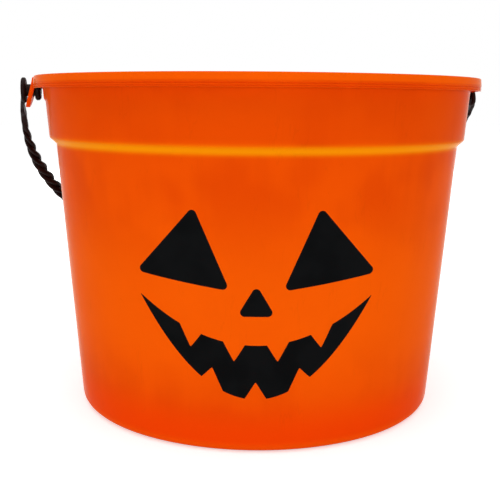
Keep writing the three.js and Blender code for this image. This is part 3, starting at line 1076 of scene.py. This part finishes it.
    def shell(self) -> Body:
        """The turned shell with the pads raised from its band and the pockets sunk into its skirt.

        A pad moves band points out by pad_proud times a mask of y and z. A pocket moves skirt points
        inside a circle round the pivot line out to |x| = pocket_floor.

        Returns:
            The points and the faces.
        """
        profile = self.profile()
        rings = turned_rings(profile[1:-1], self.angles())
        number = np.arange(len(profile) - 2)[:, None]
        at_soffit = int(np.argmax(profile[1:-1, 1] >= self.soffit - self.soffit_reach))
        at_skirt = int(np.argmax(profile[1:-1, 0] >= self.rim_radius - self.skirt_reach))
        x, y, z = rings[..., 0], rings[..., 1], rings[..., 2]
        on_band = (number < at_soffit) & (z > self.band_foot_height)
        foot = self.height - self.pad_height
        rise = np.clip((z - foot) / self.pad_chamfer, 0, 1)
        across = smooth_step(np.abs(y), self.pad_half_width + self.pad_side_fade,
                             self.pad_half_width - self.pad_side_fade)
        grow = 1 + self.pad_proud * rise * across * on_band / self.band_top_radius
        x, y = x * grow, y * grow
        from_pivot = np.hypot(y, z - self.pivot_height)
        past_band = np.hypot(x, y) > self.rim_radius - self.skirt_depth
        on_skirt = (number >= at_soffit) & (number < at_skirt) & past_band
        sink = smooth_step(from_pivot, self.pocket_radius, self.pocket_radius - self.pocket_fade) * on_skirt
        x = x + np.sign(x) * np.maximum(0, self.pocket_floor - np.abs(x)) * sink
        return capped_tube(np.stack([x, y, z], axis=2), *on_axis_ends(profile))

    def ear_section(self) -> np.ndarray:
        """Section loop of an ear: from the hole over the outer face, round the edge and back inside.

        Returns:
            For each point its share of the way from hole to edge, its shift along that way, its share
            of the way from the outer to the inner face, and its shift towards the pail's axis.
        """
        edge, rim = self.ear_edge_rounding, self.hole_rounding
        quarter = np.linspace(0, math.pi / 2, self.ear_edge_steps)
        face = np.linspace(0, 1, self.ear_face_steps)
        sin, cos = np.sin(quarter), np.cos(quarter)
        blocks = [
            (face, rim * (1 - face) - edge * face, 0, 0),
            (1, (edge * (sin - 1))[1:], 0, (edge * (1 - cos))[1:]),
            (1, edge * (cos - 1), 1, edge * (sin - 1)),
            ((1 - face)[1:], (rim * face - edge * (1 - face))[1:], 1, 0),
            (0, (rim * (1 - sin))[1:], 1, (rim * (cos - 1))[1:]),
            (0, (rim * (1 - cos))[:-1], 0, (rim * (1 - sin))[:-1]),
        ]
        return np.concatenate([np.stack(np.broadcast_arrays(*block), axis=1) for block in blocks])

    def ear(self, side: Side) -> Body:
        """One ear: a bent tab with a round lower end and a hole, as a closed ring-shaped grid.

        Around the hole at angle t the tab reaches to the ellipse below the pivot and to the straight
        sides and top above it. At each t a section loop runs from the hole over the outer face, round
        the edge and back over the inner face. A point at (y, z) and depth d lies at
        x = sqrt((R(z) - d)^2 - y^2), where R is the ear's outer radius at that height.

        Args:
            side: Which ear.

        Returns:
            The points and the faces.
        """
        turn = np.linspace(0, FULL_TURN, self.ear_points, endpoint=False)
        across, up = np.cos(turn), np.sin(turn)
        below = 1 / np.hypot(across / self.ear_half_width, up / self.ear_end_reach)
        top = self.pivot_drop - self.ear_top_drop
        above = np.minimum(self.ear_half_width / np.maximum(np.abs(across), TINY),
                           top / np.maximum(up, TINY))
        reach = np.where(up < 0, below, above)
        share, inset, deep, shift = self.ear_section().T[..., None]
        distance = self.hole_radius + (reach - self.hole_radius) * share + inset
        y, z = distance * across, self.pivot_height + distance * up
        drop = self.height - z
        outer = self.ear_radius(drop, side)
        root = np.minimum(self.ear_root_radius, outer - self.ear_root_gap)
        tab = np.maximum(outer - self.ear_thickness, self.ear_root_radius)
        inner = np.where(drop <= self.skirt_drop, root, tab)
        radius = outer - (outer - inner) * deep - shift
        x = side.value * np.sqrt(radius ** 2 - y ** 2)
        points = np.stack([x, y, z], axis=2)
        rows, columns, _ = points.shape
        return points.reshape(-1, 3), [grid_quads(rows, columns, True)]

    def build(self, material: bpy.types.Material) -> bpy.types.Object:
        """Makes the pail as one piece and dresses it."""
        piece = join_bodies("pail_moulding", [self.shell(), *map(self.ear, Side)], self.sharp_deg)
        return dress(piece, material, "pail", "pail_body")


# The handle


@dataclass
class Handle:
    """The swing handle: rope-look grip, flat straps, round eyes, studs and slotted snap heads.

    Sizes are in millimetres. Inner and outer places are distances along the pivot line from the
    pail's axis. A strap or rope size with start, full or end is a length from the handle's end.
    """

    pivot_height: float
    wall_radius_at_pivot: float
    wall_slope: float
    stud_radius: float = 2.5
    stud_roundings: tuple[float, float] = (0.2, 0.3)
    head_radius: float = 4.2
    head_outer: float = 94.65
    head_inner: float = 92.35
    head_taper: float = 0.7
    head_edge: float = 0.5
    head_roundings: tuple[float, ...] = (0.25, 0.4, 0.3, 0.2)
    slot_width: float = 0.9
    slot_depth: float = 1.3
    slot_reach: float = 1.5
    slot_turn_deg: float = 14.0
    eye_radius: float = 5.3
    eye_inner: float = 98.4
    eye_outer: float = 100.385
    eye_edge_drop: float = 0.12
    eye_dish: tuple[Triple, ...] = ((3.6, 0.04, 0.5), (3.1, 0.3, 0.2), (2.7, 0.12, 0.3))
    end_points: int = 72
    end_arc_step: float = 0.25
    end_spacing: float = 0.7
    inset_start: float = 40.0
    right_end_inset: float = 0.3
    right_tilt: float = 1.5
    tilt_above: float = 2.5
    tilt_below: float = 6.0
    inner_tilt_share: float = 0.6
    set_in_margin: float = 0.1
    eye_rounding: float = 0.75
    reach: float = 120.5
    bulge_drop: float = 20.0
    strap_half_width: float = 3.0
    strap_root_extra: float = 1.7
    strap_root_end: float = 1.5
    strap_thickness: float = 1.8
    strap_inset: float = 0.05
    strap_squareness: float = 0.4
    strap_end: float = 9.5
    neck_thickness: float = 2.5
    neck_half_width: float = 1.6
    neck_end: float = 15.0
    rope_start: float = 12.0
    rope_full: float = 55.0
    rope_neck_radius: float = 1.43
    rope_radius: float = 2.68
    strand_lead: float = 22.0
    strand_centre_share: float = 0.52
    turn_parts: int = 12
    rest_radius: float = 2.8
    rest_gap: float = 0.4
    line_points: int = 8001
    section_points: int = 60
    ring_spacing: float = 0.36
    grip_sharp_deg: float = 50.0
    end_sharp_deg: float = 35.0
    cutter_sharp_deg: float = 30.0

    @property
    def rest_lean(self) -> float:
        """Lean of the handle when its middle rests on the back wall.

        The middle hangs reach below the pivot line along the lean, and lies a rope's radius and a
        gap off the wall, which slopes by the wall angle.

        Returns:
            The lean in radians from straight down.
        """
        wall_angle = math.atan(self.wall_slope)
        stand_off = (self.rest_radius + self.rest_gap) / math.cos(wall_angle)
        needed = (self.wall_radius_at_pivot + stand_off) * math.cos(wall_angle) / self.reach
        return math.asin(needed) - wall_angle

    def line(self) -> tuple[np.ndarray, np.ndarray, np.ndarray]:
        """The handle's middle line in its own plane, at even steps of length.

        It is x = a cos t, z = -b0 - b sin t, half an ellipse whose widest place lies bulge_drop
        below the pivot line.

        Returns:
            Length from the start, place (x, z) and unit direction (x, z) at each step.
        """
        at_pivot = self.eye_outer - self.strap_inset - self.neck_thickness / 2
        deep = self.reach - self.bulge_drop
        wide = at_pivot / math.sqrt(1 - (self.bulge_drop / deep) ** 2)
        start = math.asin(self.bulge_drop / deep)
        angle = np.linspace(-start, math.pi + start, self.line_points)
        dense = np.stack([wide * np.cos(angle), -self.bulge_drop - deep * np.sin(angle)], axis=1)
        run = np.concatenate([[0], np.cumsum(np.linalg.norm(np.diff(dense, axis=0), axis=1))])
        length = np.linspace(0, run[-1], int(round(run[-1] / self.ring_spacing)) + 1)
        even = np.interp(length, run, angle)
        place = np.stack([wide * np.cos(even), -self.bulge_drop - deep * np.sin(even)], axis=1)
        along = np.stack([-wide * np.sin(even), -deep * np.cos(even)], axis=1)
        return length, place, along / np.linalg.norm(along, axis=1, keepdims=True)

    def strand_outline(self, angle: np.ndarray) -> np.ndarray:
        """Outline of three round strands that touch, as a share of the rope's radius.

        It is c cos f + sqrt((1 - c)^2 - (c sin f)^2), with f the angle from the nearest tip and c the
        distance of a strand's middle.

        Args:
            angle: Angles round the rope in radians.

        Returns:
            The share at each angle.
        """
        third = FULL_TURN / 3
        from_tip = np.abs(angle - third * np.round(angle / third))
        centre = self.strand_centre_share
        side = centre * np.sin(from_tip)
        return centre * np.cos(from_tip) + np.sqrt(np.maximum(0, (1 - centre) ** 2 - side ** 2))

    def rope(self) -> Body:
        """Strap, neck and rope in one: a section carried along the line and twisted one turn a lead.

        At the ends the section is a squared oval, |cos|^k and |sin|^k with k the squareness. It
        thickens into a neck, and from there it changes to the outline of three strands.

        Returns:
            The points and the faces, with the handle hanging from the origin.
        """
        length, place, along = self.line()
        full = length[-1]
        twisted = full - 2 * self.rope_start
        turns = round(twisted / self.strand_lead * self.turn_parts) / self.turn_parts
        twist = FULL_TURN * turns * np.clip((length - self.rope_start) / twisted, 0, 1)
        near_end = np.minimum(length, full - length)[:, None]
        angle = np.linspace(0, FULL_TURN, self.section_points, endpoint=False)[None, :]
        turned = angle + twist[:, None]
        to_neck = smooth_step(near_end, self.strap_end, self.neck_end)
        thickness = self.strap_thickness + (self.neck_thickness - self.strap_thickness) * to_neck
        half_width = self.strap_half_width + (self.neck_half_width - self.strap_half_width) * to_neck
        at_root = smooth_step(near_end, self.strap_end, self.strap_root_end)
        half_width = half_width + self.strap_root_extra * at_root
        cos, sin = np.cos(turned), np.sin(turned)
        power = self.strap_squareness
        flat_out = thickness / 2 * np.sign(cos) * np.abs(cos) ** power
        flat_wide = half_width * np.sign(sin) * np.abs(sin) ** power
        growth = smooth_step(near_end, self.rope_start, self.rope_full)
        radius = self.rope_neck_radius + (self.rope_radius - self.rope_neck_radius) * growth
        radius = radius * self.strand_outline(angle)
        to_rope = smooth_step(near_end, self.rope_start, self.rope_start + self.strand_lead)
        out = flat_out + (radius * cos - flat_out) * to_rope + (self.neck_thickness - thickness) / 2
        wide = flat_wide + (radius * sin - flat_wide) * to_rope
        x = place[:, 0][:, None] - along[:, 1][:, None] * out
        z = place[:, 1][:, None] + along[:, 0][:, None] * out
        rings = np.stack([x, wide, z], axis=2)
        return capped_tube(rings, rings[0].mean(axis=0), rings[-1].mean(axis=0))

    def end(self, side: Side) -> Body:
        """One eye, stud and head, turned round the pivot line, with a low dome and a ring on the eye.

        Args:
            side: Which end of the handle.

        Returns:
            The points and the faces, with the pivot line through the origin.
        """
        tip, shoulder, back, heel = self.head_roundings
        corners = [
            (0.0, self.head_inner), (self.head_radius - self.head_taper, self.head_inner, tip),
            (self.head_radius, self.head_inner + self.head_taper, shoulder),
            (self.head_radius, self.head_outer - self.head_edge, back),
            (self.head_radius - self.head_edge, self.head_outer, heel),
            (self.stud_radius, self.head_outer, self.stud_roundings[0]),
            (self.stud_radius, self.eye_inner, self.stud_roundings[1]),
            (self.eye_radius, self.eye_inner, self.eye_rounding),
            (self.eye_radius, self.eye_outer - self.eye_edge_drop, self.eye_rounding),
            *((radius, self.eye_outer - depth, rounding) for radius, depth, rounding in self.eye_dish),
            (0.0, self.eye_outer),
        ]
        outline = rounded_outline(corners, closed=False, arc_step=self.end_arc_step)
        profile = refined(outline, self.end_spacing)
        rings = turned_rings(profile[1:-1], np.linspace(0, FULL_TURN, self.end_points, endpoint=False))
        points, faces = capped_tube(rings, *on_axis_ends(profile))
        return np.stack([side.value * points[:, 2], points[:, 0], points[:, 1]], axis=1), faces

    def cut_slots(self, piece: bpy.types.Object) -> None:
        """Cuts the crossed slots into both heads with boxes, two at right angles for each head.

        Args:
            piece: The piece that holds both ends.
        """
        half = np.array([self.slot_depth, self.slot_width / 2, self.slot_reach * self.head_radius])
        signs = np.array([(i, j, k) for i in (-1, 1) for j in (-1, 1) for k in (-1, 1)])
        quads = np.array([(0, 1, 3, 2), (4, 6, 7, 5), (0, 4, 5, 1),
                          (2, 3, 7, 6), (0, 2, 6, 4), (1, 5, 7, 3)])
        for side in Side:
            for turn in (0.0, 90.0):
                roll = math.radians(self.slot_turn_deg + turn)
                cos, sin = math.cos(roll), math.sin(roll)
                corners = (signs * half) @ np.array([[1, 0, 0], [0, cos, sin], [0, -sin, cos]])
                corners[:, 0] += side.value * self.head_inner
                cutter = make_piece("slot_cutter", self.swung(corners), [quads], self.cutter_sharp_deg)
                cut = piece.modifiers.new("slot", "BOOLEAN")
                cut.operation, cut.solver, cut.object = "DIFFERENCE", "EXACT", cutter
                bake_modifiers(piece)
                bpy.data.objects.remove(cutter)

    def set_in(self, points: np.ndarray) -> np.ndarray:
        """Sets the right end in and tilts its eye in its hole, with the lower edge outwards.

        The shift is inset + tilt times (1 - step of the depth below the pivot line), times a share
        that grows from nothing at inset_start. The eye's inner face takes only a share of the tilt, so
        that it clears the ear, and the stud and the head stay where they are in the hole.

        Args:
            points: Points of the handle as it stands at rest.

        Returns:
            The moved points.
        """
        x = points[:, 0]
        drop = self.pivot_height - points[:, 2]
        share = smooth_step(x, self.inset_start, self.eye_inner)
        tilt = self.right_tilt * (1 - smooth_step(drop, -self.tilt_above, self.tilt_below))
        through = np.clip((x - self.eye_inner) / (self.eye_outer - self.eye_inner), 0, 1)
        deep = self.inner_tilt_share + (1 - self.inner_tilt_share) * through
        radial = np.hypot(points[:, 1], drop)
        margin = self.set_in_margin
        on_axis = (radial < self.head_radius + margin) & (x < self.eye_inner - margin)
        shift = np.where(on_axis, 0.0, (self.right_end_inset + tilt * deep) * share)
        return points - np.stack([shift, 0 * shift, 0 * shift], axis=1)

    def swung(self, points: np.ndarray) -> np.ndarray:
        """The hanging handle leaned back about X, lifted to the pivot line and set in at the right.

        Args:
            points: Points of the handle hanging straight down from the origin.

        Returns:
            The points at rest.
        """
        cos, sin = math.cos(self.rest_lean), math.sin(self.rest_lean)
        y = points[:, 1] * cos - points[:, 2] * sin
        z = points[:, 1] * sin + points[:, 2] * cos + self.pivot_height
        return self.set_in(np.stack([points[:, 0], y, z], axis=1))

    def build(self, material: bpy.types.Material) -> list[bpy.types.Object]:
        """Makes the grip and both ends, cuts the slots and dresses them.

        Args:
            material: The handle's material.

        Returns:
            The grip, and the piece with both ends.
        """
        rope_points, rope_faces = self.rope()
        grip = join_bodies("bail_rope_grip", [(self.swung(rope_points), rope_faces)], self.grip_sharp_deg)
        ends = [(self.swung(points), faces) for points, faces in map(self.end, Side)]
        studs = join_bodies("bail_eyes_and_studs", ends, self.end_sharp_deg)
        self.cut_slots(studs)
        return [dress(piece, material, "bail", "bail_handle") for piece in (grip, studs)]


# The printed face


@dataclass
class Film:
    """A film of ink on the lower wall, and how the front view wraps onto that wall."""

    pail: Pail
    face_turn_deg: float = 8.5
    face_height: float = 60.0
    proud: float = 0.06
    sunk: float = 0.05
    shrink_shares: tuple[float, ...] = (
        0.15, 0.3, 0.45, 0.6, 0.75, 0.9, 0.985, 0.997, 1.0, 0.997, 0.9, 0.6, 0.3)
    shrink_lifts: tuple[float, ...] = (1, 1, 1, 1, 1, 1, 1, 0.8, 0, -1, -1, -1, -1)
    top_points: int = 13
    under_points: int = 7

    def wrapped(self, across: np.ndarray, up: np.ndarray, lift: np.ndarray | float) -> np.ndarray:
        """Carries front-view points onto the wall.

        With r the wall's radius at the point's height plus lift, the point (u, -sqrt(r^2 - u^2)) is
        turned about Z by -face_turn.

        Args:
            across: Place to the right in the front view.
            up: Place above the face's middle.
            lift: Distance off the wall.

        Returns:
            The points, with xyz in the last direction.
        """
        height = self.face_height + up
        radius = self.pail.wall_radius(height) + lift
        depth = np.sqrt(radius ** 2 - across ** 2)
        turn = math.radians(-self.face_turn_deg)
        cos, sin = math.cos(turn), math.sin(turn)
        return np.stack([across * cos + depth * sin, across * sin - depth * cos, height], axis=-1)

    def patch(self, outline: np.ndarray, centre: tuple[float, float]) -> Body:
        """A film inside an outline that can be seen whole from its centre.

        Rings of the outline, shrunk towards the centre by a share, run out over the top of the film,
        round its edge and back below it.

        Args:
            outline: Closed front-view outline.
            centre: The point towards which the rings shrink.

        Returns:
            The points and the faces.
        """
        share, lift = np.array(self.shrink_shares), np.array(self.shrink_lifts)
        lift = np.where(lift > 0, lift * self.proud, lift * self.sunk)
        middle = np.array(centre)
        flat = middle + (outline - middle)[None, :, :] * share[:, None, None]
        rings = self.wrapped(flat[..., 0], flat[..., 1], lift[:, None])
        first = self.wrapped(middle[0], middle[1], self.proud)
        last = self.wrapped(middle[0], middle[1], -self.sunk)
        return capped_tube(rings, first, last)

    def strip(self, across: np.ndarray, low: np.ndarray, high: np.ndarray) -> Body:
        """A film between two edges: loops round the film's thickness, one for each place across.

        Args:
            across: Places from left to right.
            low: Height of the lower edge at each place.
            high: Height of the upper edge at each place.

        Returns:
            The points and the faces.
        """
        share = np.concatenate([np.linspace(0, 1, self.top_points), np.linspace(1, 0, self.under_points)])
        lift = np.repeat([self.proud, -self.sunk], [self.top_points, self.under_points])
        up = low[:, None] + (high - low)[:, None] * share
        rings = self.wrapped(np.repeat(across[:, None], len(share), axis=1), up, lift[None, :])
        return capped_tube(rings, rings[0].mean(axis=0), rings[-1].mean(axis=0))


@dataclass
class PrintedFace:
    """A plain pumpkin face: triangle eyes and nose, and a grin with pointed teeth."""

    film: Film
    eye_offset: float = 27.0
    eye_rise: float = 20.0
    eye_width: float = 35.0
    eye_height: float = 28.0
    eye_slant: float = 5.0
    eye_apex_share: float = 0.25
    eye_middle: tuple[float, float] = (0.125, 0.34)
    nose_width: float = 14.0
    nose_height: float = 12.0
    corner_rounding: float = 1.6
    mouth_rise: float = -17.0
    mouth_half_width: float = 43.0
    mouth_depth: float = 21.0
    mouth_top_curve: float = 17.0
    tooth_width: float = 8.0
    tooth_depth: float = 7.0
    tooth_rounding: float = 0.05
    tip_half_width: float = 0.2
    upper_teeth: tuple[float, ...] = (-24.0, -8.0, 8.0, 24.0)
    lower_teeth: tuple[float, ...] = (-16.0, 0.0, 16.0)
    mouth_points: int = 345
    place_decimals: int = 4
    outline_spacing: float = 0.5
    sharp_deg: float = 40.0

    def closed_outline(self, corners: list[tuple[float, ...]]) -> np.ndarray:
        """Closed outline with rounded corners and no long stretches."""
        outline = rounded_outline(corners, closed=True)
        return refined(np.vstack([outline, outline[:1]]), self.outline_spacing)[:-1]

    def eye(self, side: Side) -> Body:
        """One eye: a triangle whose inner lower corner drops a little.

        Args:
            side: Which eye, as seen from the front.

        Returns:
            The points and the faces.
        """
        sign, half = side.value, self.eye_width / 2
        middle = sign * self.eye_offset
        base = self.eye_rise - self.eye_height / 2
        corners = [
            (middle - sign * half, base - self.eye_slant / 2, self.corner_rounding),
            (middle + sign * half, base + self.eye_slant / 2, self.corner_rounding),
            (middle - sign * half * self.eye_apex_share, base + self.eye_height, self.corner_rounding),
        ]
        inwards, up = self.eye_middle
        return self.film.patch(self.closed_outline(corners),
                               (middle - sign * half * inwards, base + self.eye_height * up))

    def nose(self) -> Body:
        """The nose: a small triangle.

        Returns:
            The points and the faces.
        """
        half, foot = self.nose_width / 2, -self.nose_height / 2
        corners = [(-half, foot, self.corner_rounding), (half, foot, self.corner_rounding),
                   (0.0, -foot, self.corner_rounding)]
        return self.film.patch(self.closed_outline(corners), (0.0, foot / 3))

    def teeth(self, across: np.ndarray, places: tuple[float, ...]) -> np.ndarray:
        """How far the teeth reach in: depth times 1 - |u - place| / half width, with a rounded tip.

        Args:
            across: Places across the mouth.
            places: The middles of the teeth.

        Returns:
            The reach at each place.
        """
        from_tooth = np.abs(across[:, None] - np.array(places)[None, :]).min(axis=1)
        share = np.hypot(from_tooth / (self.tooth_width / 2), self.tooth_rounding)
        return self.tooth_depth * np.maximum(0, 1 - share)

    def mouth(self) -> Body:
        """The mouth: two parabolas that meet at the corners, broken by teeth above and below.

        Each parabola is middle + (end - middle) (u / half)^2, with a place of its own for every tip
        and root of a tooth.

        Returns:
            The points and the faces.
        """
        half, tip, root = self.mouth_half_width, self.tip_half_width, self.tooth_width / 2
        corners = [place + shift for place in self.upper_teeth + self.lower_teeth
                   for shift in (-root, -tip, 0.0, tip, root)]
        even = np.linspace(-half, half, self.mouth_points)
        across = np.unique(np.round(np.concatenate([even, corners]), self.place_decimals))[1:-1]
        bend = (across / half) ** 2
        top_middle, low_middle = self.mouth_rise, self.mouth_rise - self.mouth_depth
        end = self.mouth_rise + self.mouth_top_curve
        high = top_middle + (end - top_middle) * bend - self.teeth(across, self.upper_teeth)
        low = low_middle + (end - low_middle) * bend + self.teeth(across, self.lower_teeth)
        return self.film.strip(across, low, high)

    def build(self, material: bpy.types.Material) -> list[bpy.types.Object]:
        """Makes the four films and dresses them.

        Args:
            material: The ink.

        Returns:
            The films.
        """
        films = {"left_eye": self.eye(Side.LEFT), "right_eye": self.eye(Side.RIGHT),
                 "nose": self.nose(), "mouth": self.mouth()}
        return [dress(join_bodies(f"ink_{name}", [body], self.sharp_deg), material, "pail",
                      f"face_{name}") for name, body in films.items()]


# The studio


@dataclass(frozen=True)
class Softbox:
    """A rectangular lamp that faces the pail. Azimuth 0 is the camera's side, positive to its right.

    Distance, width and tall are in metres.
    """

    name: str
    azimuth_deg: float
    elevation_deg: float
    distance: float
    width: float
    tall: float
    radiance: float
    shine: Shine = Shine.SEEN


@dataclass
class Studio:
    """Camera, world, floor and lamps. Distances are in metres."""

    camera_place: Triple = (-0.05756, -0.37046, 0.13042)
    camera_forward: Triple = (0.1447, 0.9739, -0.1747)
    camera_roll: float = 0.0077
    lens: float = 60.48
    sensor: float = 36.0
    clip: tuple[float, float] = (0.01, 50.0)
    target: Triple = (0.0, 0.0, 0.07)
    world_light: float = 0.36
    floor_half: float = 4.0
    floor_level: float = -0.00005
    floor_colour: Triple = (0.86, 0.86, 0.86)
    floor_lift_near: float = 0.54
    floor_lift_far: float = 0.7
    floor_lift_start: float = 0.15
    floor_lift_end: float = 0.7
    lamps: tuple[Softbox, ...] = (
        Softbox("key softbox", -6.0, 3.5, 1.1, 1.2, 0.26, 3.35),
        Softbox("top softbox", -10.0, 78.0, 1.3, 1.2, 1.2, 2.05),
        Softbox("left side softbox", -70.0, 5.0, 1.1, 0.9, 0.3, 1.5, Shine.UNSEEN),
        Softbox("right side softbox", 70.0, 5.0, 1.1, 0.9, 0.3, 2.05, Shine.UNSEEN),
        Softbox("back softbox", 180.0, 12.0, 1.3, 1.4, 0.5, 2.4, Shine.UNSEEN),
    )

    def make_camera(self) -> None:
        """Makes the camera that the photograph's outline was fitted with."""
        data = bpy.data.cameras.new("camera")
        data.lens, data.sensor_width, data.sensor_fit = self.lens, self.sensor, "HORIZONTAL"
        data.clip_start, data.clip_end = self.clip
        camera = place_object("camera", data)
        forward = Vector(self.camera_forward).normalized()
        right = forward.cross(Vector((0, 0, 1))).normalized()
        up = right.cross(forward)
        cos, sin = math.cos(self.camera_roll), math.sin(self.camera_roll)
        right, up = right * cos + up * sin, up * cos - right * sin
        camera.matrix_world = Matrix((
            (right.x, up.x, -forward.x, self.camera_place[0]),
            (right.y, up.y, -forward.y, self.camera_place[1]),
            (right.z, up.z, -forward.z, self.camera_place[2]),
            (0, 0, 0, 1)))
        bpy.context.scene.camera = camera

    def seen(self, sheet: NodeSheet, path: bpy.types.Node) -> bpy.types.NodeSocket:
        """1 for a camera, glossy or transmission ray and 0 for any other."""
        clear = sheet.math("MAXIMUM", path.outputs["Is Camera Ray"], path.outputs["Is Transmission Ray"])
        return sheet.math("MAXIMUM", clear, path.outputs["Is Glossy Ray"])

    def make_world(self) -> None:
        """White for the camera, reflections and clear parts, and a lower light on matt surfaces."""
        world = bpy.data.worlds.new("studio")
        bpy.context.scene.world = world
        sheet = cleared_sheet(world)
        path = sheet.node("ShaderNodeLightPath")
        strength = sheet.math("ADD", self.world_light,
                              sheet.math("MULTIPLY", self.seen(sheet, path), 1 - self.world_light))
        light = sheet.node("ShaderNodeBackground", {"Color": (1, 1, 1, 1), "Strength": strength})
        sheet.node("ShaderNodeOutputWorld", {"Surface": light.outputs[0]})

    def make_floor(self) -> None:
        """Makes a pale floor that keeps the shadow and can be looked through from below.

        The floor faces up. A lift, which only the camera and reflections see, brings it to white, and
        grows from near the pail to far from it.
        """
        half, level = self.floor_half, self.floor_level
        mesh = bpy.data.meshes.new("studio_floor")
        corners = [(x * half, y * half, level) for x, y in ((-1, -1), (1, -1), (1, 1), (-1, 1))]
        mesh.from_pydata(corners, [], [(0, 1, 2, 3)])
        floor = place_object("studio_floor", mesh)
        material = bpy.data.materials.new("pale floor")
        sheet = cleared_sheet(material)
        path = sheet.node("ShaderNodeLightPath")
        matt = sheet.node("ShaderNodeBsdfDiffuse", {"Color": self.floor_colour})
        away = sheet.node("ShaderNodeVectorMath", {0: sheet.object_place()}, operation="LENGTH")
        rising = sheet.map_range(away.outputs["Value"], self.floor_lift_start, self.floor_lift_end,
                                 self.floor_lift_near, self.floor_lift_far, smooth=True)
        lift = sheet.math("MULTIPLY", self.seen(sheet, path), rising)
        glow = sheet.node("ShaderNodeEmission", {"Color": (1, 1, 1, 1), "Strength": lift})
        lit = sheet.node("ShaderNodeAddShader", {0: matt.outputs[0], 1: glow.outputs[0]})
        clear = sheet.node("ShaderNodeBsdfTransparent")
        behind = sheet.node("ShaderNodeNewGeometry").outputs["Backfacing"]
        from_below = sheet.math("MULTIPLY", behind, path.outputs["Is Camera Ray"])
        shown = sheet.node("ShaderNodeMixShader", {0: from_below, 1: lit.outputs[0], 2: clear.outputs[0]})
        sheet.node("ShaderNodeOutputMaterial", {"Surface": shown.outputs[0]})
        floor.data.materials.append(material)

    def make_lamp(self, box: Softbox) -> None:
        """Places one softbox. Its power is radiance times area times pi.

        Args:
            box: The softbox.
        """
        data = bpy.data.lights.new(box.name, "AREA")
        data.shape, data.size, data.size_y = "RECTANGLE", box.width, box.tall
        data.energy = box.radiance * box.width * box.tall * math.pi
        lamp = place_object(box.name, data)
        towards = Vector((-self.camera_forward[0], -self.camera_forward[1], 0)).normalized()
        flat = Matrix.Rotation(math.radians(box.azimuth_deg), 3, "Z") @ towards
        rise = math.radians(box.elevation_deg)
        direction = flat * math.cos(rise) + Vector((0, 0, math.sin(rise)))
        lamp.location = Vector(self.target) + direction * box.distance
        lamp.rotation_euler = direction.to_track_quat("Z", "Y").to_euler()
        lamp.visible_camera = False
        lamp.visible_glossy = box.shine is Shine.SEEN

    def build(self) -> None:
        """Makes the camera, the world, the floor and every lamp."""
        self.make_camera()
        self.make_world()
        self.make_floor()
        for box in self.lamps:
            self.make_lamp(box)
        bpy.context.scene.view_settings.view_transform = "Standard"


def report(pieces: list[bpy.types.Object]) -> None:
    """Logs the size and the triangle count of each piece.

    Args:
        pieces: The pieces.
    """
    for piece in pieces:
        triangles = sum(len(polygon.vertices) - 2 for polygon in piece.data.polygons)
        size = ", ".join(f"{value / MM:.1f}" for value in piece.dimensions)
        LOG.info("%s: %s mm, %d triangles", piece.name, size, triangles)


def main() -> None:
    """Builds the pail, the handle, the face and the studio."""
    logging.basicConfig(level=logging.INFO, format="%(name)s: %(message)s")
    effects = Effects()
    pail = Pail()
    report([pail.build(OrangePlastic().material(effects))])
    handle = Handle(pivot_height=pail.pivot_height, wall_slope=pail.wall_slope,
                    wall_radius_at_pivot=float(pail.wall_radius(pail.pivot_height)))
    report(handle.build(BlackPlastic().material(effects)))
    report(PrintedFace(Film(pail)).build(BlackInk().material(effects)))
    Studio().build()


if __name__ == "__main__":
    main()
